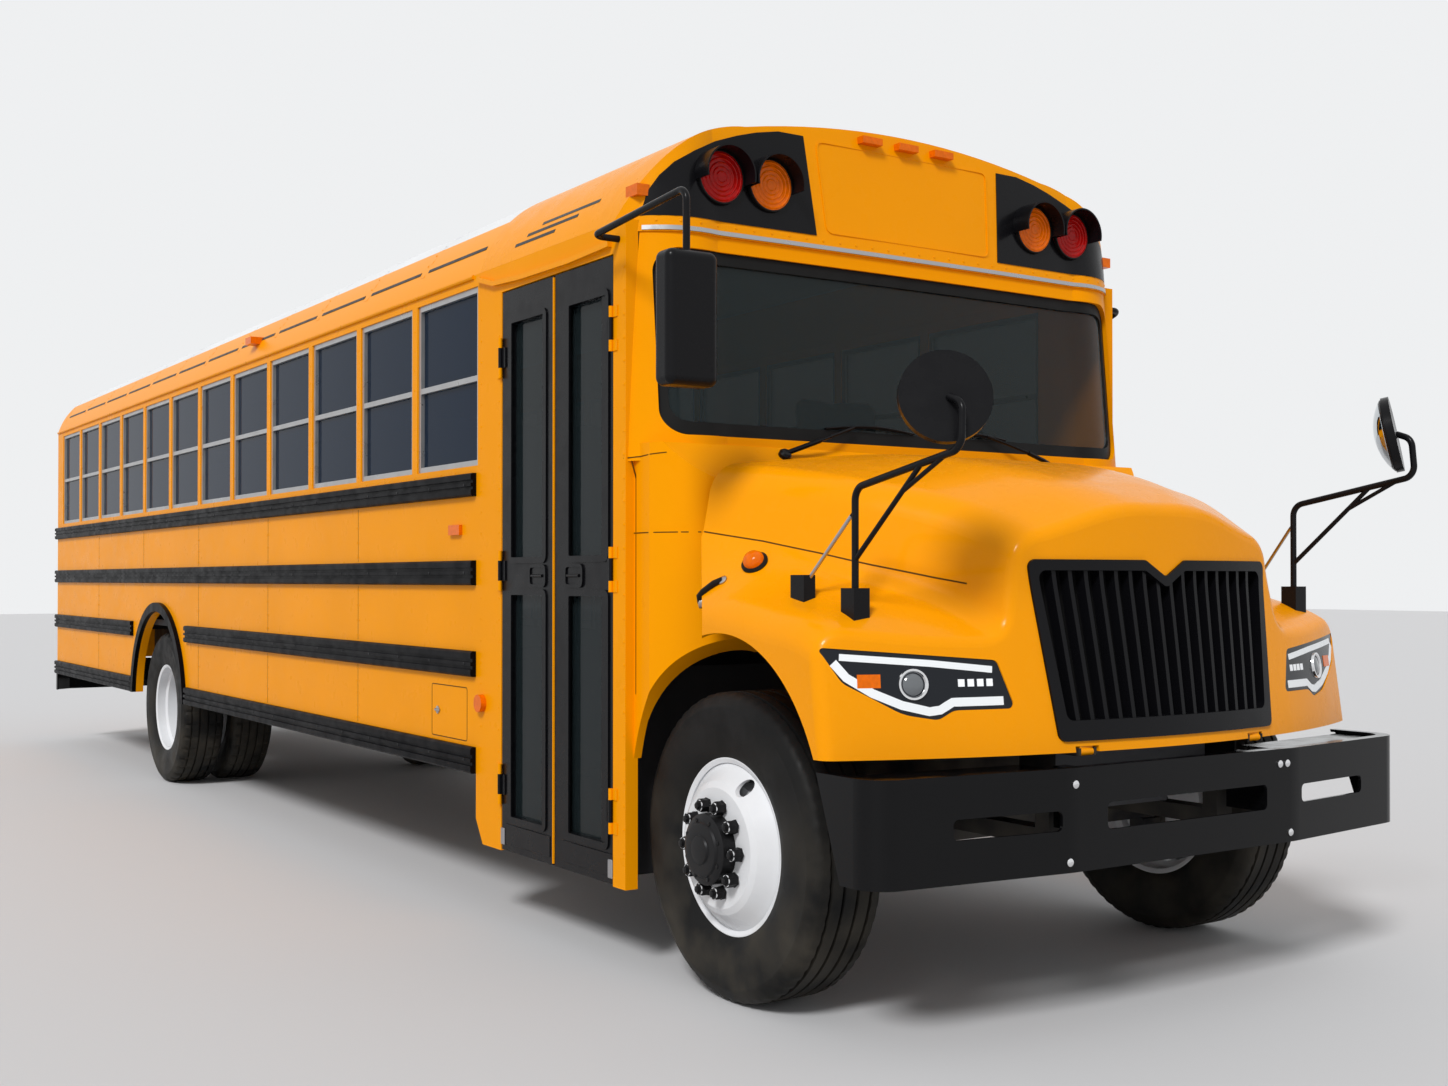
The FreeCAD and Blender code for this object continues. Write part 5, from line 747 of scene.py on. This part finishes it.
def side_panels():
    """Panel joints with their rivets between the rub rails, and rivets round the windows."""
    seams, studs = Form(), Form()
    for side in SIDES:
        out = Vector((0, side, 0))

        def rivets(places, size=TINY_RIVET):
            for x, z in places:
                studs.stud(at(x, side * HALF, z), out, *size)

        for x in map(pillar, (2, 4, 6, 8, 10)):
            for low, high in BANDS:
                if low < ARCH_TOP and ARCH_REAR < x < ARCH_FRONT:
                    continue
                seams.strip([(at(x, side * HALF, z), out) for z in (low, high)], 0.003, 0.0006, 0.001)
                heights = spread(low + 0.02, high - 0.02, int((high - low - 0.04) / 0.055))
                rivets([(x + dx, z) for z in heights for dx in (-0.016, 0.016)], SMALL_RIVET)
        for x in map(pillar, range(1, 12)):
            rivets([(x, 1.87 + 0.088 * step) for step in range(9)])
        for x, first in ((-1.52, 0), (-1.69, 3)):
            rivets([(x, 0.42 + 0.088 * step) for step in range(first, 24)], SMALL_RIVET)
        rivets([(-1.8 - 0.148 * step, z) for step in range(57) for z in (1.827, 2.618)])
    seams.done("panel_joints", "seam_dark")
    studs.done("panel_rivets", "body_yellow")


def rail_bolts():
    form = Form()
    for side in SIDES:
        for z, spans in RAIL_BOLTS:
            for rear, front in spans:
                for x in spread(rear, front, int((front - rear) / RAIL_BOLT_PITCH)):
                    form.stud(at(x, side * RAIL_FACE, z), Vector((0, side, 0)), 0.007, 0.003, 8)
    form.done("rail_bolts", "nut_black")


def drip_rails():
    """Gutters over the windows, and the bowed one over the door."""
    form, hood = Form(), Form()
    for side in SIDES:
        form.tube([at(x, side * 1.2225, 2.632) for x in (-10.24, -6.0, -1.76)], 0.009, 8)
    form.done("drip_rails", "body_yellow")
    bow = ((-1.7, 2.612), (-1.55, 2.572), (-1.3, 2.56), (-0.9, 2.556), (-0.6, 2.566))
    hood.strip([(at(x, -HALF, z), RIGHT) for x, z in bow], 0.02, 0.018, 0.002)
    hood.done("door_drip_rail", "cap_yellow")


def roof_row(skin, x, angle):
    """A point of the roof's outside at an angle in degrees up from the left side."""
    c, s = turn(radians(angle))
    way = Vector((0, c, s))
    return skin.hit(at(x, 0, ROOF_AXIS_Z) + way * 3.0, -way)


def roof_lines():
    """Lap joints with rivets across the roof, and the dark strips along its edges."""
    skin, crown = Skin("roof"), cad_box[1][2]
    laps, studs, strips = Form(), Form(), Form()
    for x in [pillar(index) for index in range(1, 12)] + [-10.14]:
        rows = [roof_row(skin, x, angle) for angle in range(20, 161, 4)]
        laps.strip([(point - out * max(point.z + LAP - crown, 0.0), out) for point, out in rows], 0.034, LAP)
        for angle in range(22, 160, 3):
            point, out = roof_row(skin, x - 0.01, angle)
            if point.z + 2.5 * LAP < crown:
                studs.stud(point + out * LAP, out, 0.0045, 0.002)
    for side in SIDES:
        for index in range(12):
            ends = pillar(index) - 0.045, pillar(index + 1) + 0.045
            strips.strip([skin.from_side(x, 2.755, side) for x in spread(*ends, 6)], 0.017, 0.002)
    laps.done("roof_laps", "roof_lap")
    studs.done("roof_rivets", "roof_lap")
    strips.done("roof_edge_strips", "strip_grey")


def cap_stripes():
    """Three short stripes high on the cap's sides, each further forward than the one below."""
    skin, form = Skin("front_cap"), Form()
    for side in SIDES:
        for rear, length, z in ((-1.42, 0.34, 2.705), (-1.34, 0.42, 2.735), (-1.24, 0.46, 2.765)):
            form.strip([skin.from_side(x, z, side) for x in spread(rear, rear + length, 6)], 0.015, 0.001)
    form.done("cap_stripes", "panel_black")


def compartment_door():
    """The small flush door low on the right side, with its latch."""
    seams, latch = Form(), Form()
    seams.strip([(at(p.x, -HALF, p.y), RIGHT)
                 for p in rounded_box(-2.19, 0.701, -1.823, 0.923, 0.012, 3)],
                0.004, 0.0008, 0.002, closed=True)
    latch.lathe(((0.017, -0.001), (0.017, 0.004), (0.008, 0.006)), at(-2.125, -HALF, 0.812), RIGHT, 16)
    latch.block(at(-2.15, -HALF - 0.008, 0.806), at(-2.1, -HALF + 0.001, 0.818), 0.002)
    seams.done("compartment_joint", "seam_dark")
    latch.done("compartment_latch", "steel")


# --- doors and rear ---

PANES = ((0.438, 1.315), (1.463, 2.392))  # foot and head
# body, node, a pane's rear and front edges, handle, hinge: all x
LEAVES = (("door_rear_leaf", "door_leaf_rear", -1.401, -1.126, -1.175, -1.478),
          ("door_front_leaf", "door_leaf_front", -0.917, -0.642, -0.88, -0.606))
HANDLE_Z = 1.39
PANE_RIM = 0.012  # from a pane's edge out to the middle of its rim


def door_details():
    """Rims round the panes, sunk handles, kick plates and hinge plates on the door's leaves."""
    for body, node, rear, front, handle, hinge in LEAVES:
        y = Skin(node).from_side(handle, HANDLE_Z, -1.0)[0].y
        rims, cups, steel = Form(), Form(), Form()
        paths = [(rounded_box(rear - PANE_RIM, low - PANE_RIM, front + PANE_RIM, high + PANE_RIM,
                              0.02, 4), 0.024, 0.006) for low, high in PANES]
        paths.append((rounded_box(handle - 0.065, 1.352, handle + 0.065, 1.428, 0.02, 4), 0.012, 0.007))
        for path, width, lift in paths:
            rims.strip([(at(p.x, y, p.y), RIGHT) for p in path], width, lift, 0.002, closed=True)
        cups.slab([at(handle + dx, y - 0.0012, HANDLE_Z + dz) for dx, dz in (
            (-0.058, -0.031), (0.058, -0.031), (0.058, 0.031), (-0.058, 0.031))], -RIGHT * 0.002)
        cups.tube([at(handle + dx, y - 0.006, HANDLE_Z) for dx in (-0.045, 0.045)], 0.006)
        rims.block(at(rear - 0.055, y - 0.003, 0.325), at(front + 0.055, y + 0.002, 0.405), 0.002)
        steel.block(at(hinge - 0.016, y - 0.005, 0.318), at(hinge + 0.016, y + 0.001, 0.385), 0.003)
        rims.done(body + "_rims", "trim_black", body)
        cups.done(body + "_handle", "door_black", body)
        steel.done(body + "_hinge_plates", "steel", body)
    strip = Form()
    strip.block(at(-1.0475, -1.222, 0.305), at(-1.04, -1.2, 2.518), 0.001)
    strip.done("door_edge_strip", "body_yellow", "door_rear_leaf")


def rear_details():
    """Gaskets, the door's handle, panel joints and rivets on the rear wall."""
    skin = Skin("rear_wall", "rear_door")
    door, panes, steel, seams, studs = (Form() for _ in range(5))
    gaskets = [(door, (-0.25, low, 0.25, high)) for low, high in ((1.838, 2.444), (1.28, 1.728))]
    gaskets += [(panes, (side * 0.45, 1.838, side * 1.039, 2.601)) for side in SIDES]
    for form, edges in gaskets:
        form.strip([skin.from_rear(*spot) for spot in rounded_box(*edges, 0.03, 4)],
                   0.02, 0.006, 0.002, closed=True)
    door.done("rear_door_gaskets", "rubber_black", "rear_door")
    panes.done("rear_window_gaskets", "rubber_black")
    foot, _ = skin.from_rear(0.265, 1.215)
    steel.block(foot + Vector((-0.01, -0.03, -0.06)), foot + Vector((0.001, 0.03, 0.06)), 0.004)
    steel.tube([foot + Vector((x, y, 0.0)) for x, y in (
        (-0.012, 0.0), (-0.02, -0.03), (-0.02, -0.16))], 0.008)
    steel.done("rear_door_handle", "steel", "rear_door")
    for z, clear in ((1.25, 0.34), (0.95, 0.0)):
        rows = [skin.from_rear(y, z) for y in spread(-1.1, 1.1, 20)]
        for side in SIDES:
            seams.strip([row for row in rows if row[0] and row[0].y * side > clear], 0.004)
    for side in SIDES:
        for step in range(20):
            for y in (0.375, 1.15):
                point, out = skin.from_rear(side * y, 0.8 + 0.095 * step)
                if point:
                    studs.stud(point, out, *SMALL_RIVET)
    seams.done("rear_joints", "seam_dark")
    studs.done("rear_rivets", "body_yellow")


def stop_sign_edge():
    """A pale border on the blank octagonal sign."""
    low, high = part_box("stop_arm")
    half = (high.z - low.z) / 2
    centre = Vector((low.x + half, high.y, (low.z + high.z) / 2))
    radius = half / cos(pi / 8) - 0.024
    form = Form()
    form.strip([(centre + Vector((c, 0, s)) * radius, -RIGHT)
                for c, s in map(turn, circle(8, pi / 8))], 0.016, 0.0012, 0.002, closed=True)
    form.done("stop_arm_border", "sign_white", "stop_arm")


# --- wheels ---

# radius and half width, from the bead out to the tread's edge
TYRE = ((0.2865, 0.112), (0.3, 0.121), (0.33, 0.13), (0.375, 0.1375), (0.415, 0.1392),
        (0.44, 0.1375), (0.452, 0.1385), (0.458, 0.1385), (0.464, 0.1355), (0.484, 0.1275),
        (0.4965, 0.118), (0.5025, 0.106))
GROOVES = (-0.078, -0.027, 0.027, 0.078)
GROOVE = ((0.5045, -0.0062), (0.4915, -0.0045), (0.4915, 0.0045), (0.5045, 0.0062))
TYRE_SIDES, NOTCHED_ABOVE = 180, 0.495
# one side in how many is notched, from how far across the tread, and how deep
RIBBED, LUGGED = (3, 0.084, 0.004), (5, 0.034, 0.011)
NUT_CIRCLE, HUB_BOLT_CIRCLE = 0.142875, 0.097
NUT = ((0.025, 0.0), (0.025, 0.005), (0.0225, 0.006), (0.0225, 0.031), (0.019, 0.0365),
       (0.012, 0.037), (0.0115, 0.045), (0.009, 0.0465))
# the hub's cover: radius and height from its top
HUB = ((0.115, -0.016), (0.1075, -0.01), (0.09, -0.008), (0.086, -0.001), (0.081, 0.0),
       (0.048, 0.0), (0.044, 0.006), (0.03, 0.008), (0.001, 0.008))


def tyre(name, node, body, x, middles, tread):
    """Tyres with ribs, grooves, sidewall rings and notched shoulders, in place of a CAD node."""
    every, reach, depth = tread
    profile = [(radius, -across) for radius, across in TYRE]
    profile += [(radius, groove + across) for groove in GROOVES for radius, across in GROOVE]
    profile += TYRE[::-1]
    form = Form()
    for middle in middles:
        rings = []
        for radius, across in profile:
            centre = at(x, middle + across, WHEEL_Z)
            cut = depth if radius > NOTCHED_ABOVE and abs(across) > reach else 0.0
            rings.append([centre + Vector((c, 0, s)) * (radius - cut * (i % every == 0))
                          for i, (c, s) in enumerate(map(turn, circle(TYRE_SIDES)))])
        form.loft(rings, caps=False)
    made = form.done(name, "tyre_rubber", body, 28.0)
    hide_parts(node)


def wheel_nuts(name, body, x, face_y, side, hub_y, hub_height):
    """Capped nuts with stud ends, and the hub's cover with its bolts."""
    form, out = Form(), Vector((0, side, 0))
    for index, (c, s) in enumerate(map(turn, circle(10))):
        form.lathe(NUT, at(x + NUT_CIRCLE * c, face_y, WHEEL_Z + NUT_CIRCLE * s), out, 6, start=0.3 * index)
    hub = at(x, hub_y, WHEEL_Z)
    form.lathe([(HUB[0][0], 0.0)] + [(radius, hub_height + down) for radius, down in HUB], hub, out, 40)
    for c, s in map(turn, circle(8, radians(20))):
        form.lathe(((0.0075, -0.002), (0.0075, 0.005), (0.004, 0.006)),
                   hub + Vector((c, 0, s)) * HUB_BOLT_CIRCLE + out * (hub_height - 0.011), out, 6)
    form.done(name, "nut_black", body, 40.0)


def wheels():
    for side, name in zip(SIDES, ("right", "left")):
        tyre("tyre_front_" + name, "front_tyre_" + name, "front_wheel_" + name, 0.0, (side * 1.002,), RIBBED)
        tyre("tyres_rear_" + name, "rear_tyres_" + name, "rear_wheels_" + name, REAR_X,
             (side * 1.051, side * 0.721), LUGGED)
        wheel_nuts("nut_covers_front_" + name, "front_wheel_" + name, 0.0, side * 1.172, side,
                   side * 1.168, 0.063)
        wheel_nuts("nut_covers_rear_" + name, "rear_wheels_" + name, REAR_X, side * 0.902, side,
                   side * 1.0, 0.03)


# --- seats ---

SEAT_ROWS, FIRST_SEAT, SEAT_Y = 12, -1.965, 0.662  # rows, x of the first front, y of a middle
CUSHION, CUSHION_AT = (0.38, 0.99, 0.11), Vector((-0.19, 0, 1.475))
BACK, BACK_AT = (0.12, 0.99, 0.72), Vector((-0.44, 0, 1.78))
LEG = ((-0.375, 1.108), (-0.368, 1.405), (-0.02, 1.405), (-0.012, 1.108))  # x and z
DRIVER_CUSHION, DRIVER_CUSHION_AT = (0.43, 0.5, 0.11), (-1.275, 0.56, 1.488)
DRIVER_BACK, DRIVER_BACK_AT = (0.11, 0.5, 0.78), (-1.585, 0.56, 1.845)
POST_AT = (-1.325, 0.56, 1.1)
POST = ((0.168, 0.0), (0.168, 0.02), (0.105, 0.05), (0.091, 0.165), (0.119, 0.297), (0.1575, 0.33))
SEAMS, DRIVER_SEAMS = (-0.165, 0.165), (-0.12, 0.12)
SEAM_REACH, SEAM_DEPTH = 0.035, 0.1
PRESSURE, BLOWN_FRAMES = 4.0, 20


def stuffed(size, slack, coarse):
    """A sewn pad of a size, blown up from a slacker one by air pressure. Its middle is at 0."""
    half = [length / 2 - slack for length in size]
    form = Form()
    form.block([-h for h in half], half, 0.03)
    pad = form.shape("pad")
    remesh = pad.modifiers.new("remesh", "REMESH")
    remesh.mode, remesh.voxel_size = "VOXEL", coarse
    pad.modifiers.new("relax", "SMOOTH").iterations = 3

    def shown():
        graph = bpy.context.evaluated_depsgraph_get()
        return bpy.data.meshes.new_from_object(pad.evaluated_get(graph))

    rest = shown()
    cloth = pad.modifiers.new("cloth", "CLOTH")
    cloth.settings.use_pressure = True
    cloth.settings.uniform_pressure_force = PRESSURE
    cloth.settings.effector_weights.gravity = 0.0
    cloth.point_cache.frame_start, cloth.point_cache.frame_end = 1, BLOWN_FRAMES
    for step in range(1, BLOWN_FRAMES + 1):
        scene.frame_set(step)
    blown = shown()
    scene.frame_set(1)
    for axis in range(3):
        moves = [new.co[axis] - old.co[axis] for new, old in zip(blown.vertices, rest.vertices)]
        share = min(1.0, slack / max(max(moves), -min(moves), 0.001))
        for vertex, move in zip(rest.vertices, moves):
            vertex.co[axis] += move * share
    bpy.data.meshes.remove(blown)
    bpy.data.objects.remove(pad)
    return rest


def sewn(name, mesh, places, seams, across, lean=0.0):
    """A piece made of copies of a pad set down at places, with channels sewn across it."""
    form = Form()
    for place in places:
        first = len(form.mesh.verts)
        form.mesh.from_mesh(mesh)
        form.mesh.verts.ensure_lookup_table()
        for vertex in form.mesh.verts[first:]:
            near = min(abs(vertex.co.y - seam) for seam in seams)
            vertex.co[across] *= 1.0 - SEAM_DEPTH * max(0.0, 1.0 - near / SEAM_REACH)
            vertex.co.x -= vertex.co.z * lean
            vertex.co += place
    return form.done(name, "seat_vinyl", sharp=0)


def seats():
    """Padded cushions and backs on steel legs, in place of the CAD seats."""
    fronts = [FIRST_SEAT - PITCH * row for row in range(SEAT_ROWS)]
    spots = [at(front, side * SEAT_Y, 0.0) for front in fronts for side in SIDES]
    cushion = stuffed(CUSHION, 0.016, 0.026)
    back = stuffed(BACK, 0.018, 0.028)
    made = sewn("seat_cushions", cushion, [spot + CUSHION_AT for spot in spots], SEAMS, 2)
    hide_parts("seats")
    other = sewn("seat_backs", back, [spot + BACK_AT for spot in spots], SEAMS, 0)
    legs = Form()
    for spot in spots:
        for y in (-0.43, 0.43):
            legs.tube([spot + Vector((x, y, z)) for x, z in LEG], 0.011, 8)
            legs.block(spot + Vector((-0.379, y - 0.019, 1.1001)),
                       spot + Vector((-0.001, y + 0.019, 1.108)), 0.002)
    legs.done("seat_legs", "seat_frame")


def driver_seat():
    """The driver's cushion, back and pedestal, in the boxes that the CAD model gives them."""
    cushion = stuffed(DRIVER_CUSHION, 0.016, 0.022)
    back = stuffed(DRIVER_BACK, 0.016, 0.022)
    for pad in (sewn("driver_cushion", cushion, [at(*DRIVER_CUSHION_AT)], DRIVER_SEAMS, 2),
                sewn("driver_back", back, [at(*DRIVER_BACK_AT)], DRIVER_SEAMS, 0, 0.09)):
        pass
    post = Form()
    post.lathe(POST, at(*POST_AT), UP)
    post.done("driver_post", "seat_frame")


# --- mirrors, wipers and small panels ---

MIRROR_PLATES = ((0.01, -1.32, 2.2), (-0.77, 1.32, 2.01))  # middles
DISH_AT, DISH_FACING, DISH_RADIUS = (0.97, -1.04, 1.885), (-0.84, 0.5, -0.2), 0.134
PLATES_BACK, REAR_PLATE_END = 0.61, -10.2635  # x where the plates at the bumpers end
SPLASH = ((-0.56, 0.6), (0.5, 0.62), (0.7, 0.74), (0.7, 1.02), (0.45, 1.14), (-0.56, 1.18))


def mirror_glasses():
    flat, dishes = Form(), Form()
    for x, y, z in MIRROR_PLATES:
        path = rounded_box(y - 0.076, z - 0.195, y + 0.076, z + 0.195, 0.02, 5)
        flat.slab([at(x, p.x, p.y) for p in path], FORWARD * -0.0015)
    flat.done("mirror_plates", "mirror_glass")
    ball = DISH_RADIUS * 1.6
    rows = [(reach, sqrt(ball ** 2 - reach ** 2) - DISH_RADIUS * 1.25 + 0.0152)
            for reach in (0.12, 0.1, 0.075, 0.05, 0.025, 0.001)]
    dishes.lathe([(rows[0][0], rows[0][1] - 0.004)] + rows, at(*DISH_AT), Vector(DISH_FACING), 40)
    dishes.both().done("crossview_plates", "mirror_glass", "hood")


def bumper_top():
    """Black plates from the bumper's top back under the hood, lower where the nose swings down."""
    skin, form = Skin("front_bumper"), Form()
    for inner, outer, z in ((-0.52, 0.52, 0.772), (0.52, 1.16, 0.8), (-1.16, -0.52, 0.8)):
        rows = [(skin.from_front(y, 0.795)[0].x, y) for y in spread(inner, outer, 12)]
        form.slab([Vector((x - 0.012, y, z)) for x, y in rows]
                  + [Vector((max(x - 0.22, AXLE_X + PLATES_BACK), y, z)) for x, y in rows[::-1]],
                  UP * 0.004)
    low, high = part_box("rear_bumper")
    form.block((low.x + 0.012, low.y + 0.06, high.z - 0.012),
               (AXLE_X + REAR_PLATE_END, high.y - 0.06, high.z - 0.006), 0.001)
    form.done("bumper_top", "bumper_black")


def splash_panels():
    """Black panels beside the frame rails that close the view through the wheel arches."""
    form = Form()
    form.slab([at(p.x, -0.497, p.y) for p in rounded_path(SPLASH, 0.05, 4)], RIGHT * 0.003)
    form.both().done("splash_panels", "chassis_black")


def wiper_arms():
    """Parked wipers that point to the middle, each a tapered arm and a blade in its holder."""
    glass, cowl, form = Skin("windscreen"), Skin("cowl"), Form()
    for side in SIDES:
        root, lean = cowl.from_front(side * 0.672, 1.818)
        form.lathe(((0.024, -0.004), (0.024, 0.014), (0.017, 0.022), (0.001, 0.023)), root, lean, 20)
        tip, out = glass.from_front(side * 0.335, 1.938)
        start, end = root + lean * 0.014, tip + out * 0.03
        elbow = start.lerp(end, 0.45) + out * 0.02
        form.tube([start, start.lerp(elbow, 0.5) + out * 0.006, elbow], 0.0095, 8)
        form.tube([elbow, elbow.lerp(end, 0.55) + out * 0.004, end], 0.006, 8)
        blade, holder = [], []
        for step in range(13):
            bow = 0.014 * sin(pi * step / 12)
            point, facing = glass.from_front(side * (0.45 - 0.035 * step), 1.932 + bow)
            blade.append(point + facing * 0.006)
            holder.append(point + facing * (0.011 + bow))
        form.tube(blade, 0.005, 6)
        form.tube(holder, 0.0042, 6)
    made = form.done("wiper_arms", "trim_black")
    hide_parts("wipers")


def stay_rods():
    """The thin rods that stay the crossview mirrors' arms."""
    form = Form()
    form.tube([at(0.362, -1.0724, 1.365), at(0.545, -1.0388, 1.567)], 0.0062)
    form.both().done("mirror_stays", "steel", "hood")


for build in (add_camera, add_world, add_floor, hood_joint, lamp_insides, grille_screen, hood_fittings,
              bumper_bolts, windscreen_gasket, cap_panels, cap_lip, lamp_lenses, cowl_joints,
              side_panels, rail_bolts, drip_rails, roof_lines, cap_stripes, compartment_door,
              door_details, rear_details, stop_sign_edge, mirror_glasses, bumper_top, wiper_arms,
              stay_rods, splash_panels, seats, driver_seat, wheels, add_sun):
    build()
scene.view_settings.view_transform = "Standard"
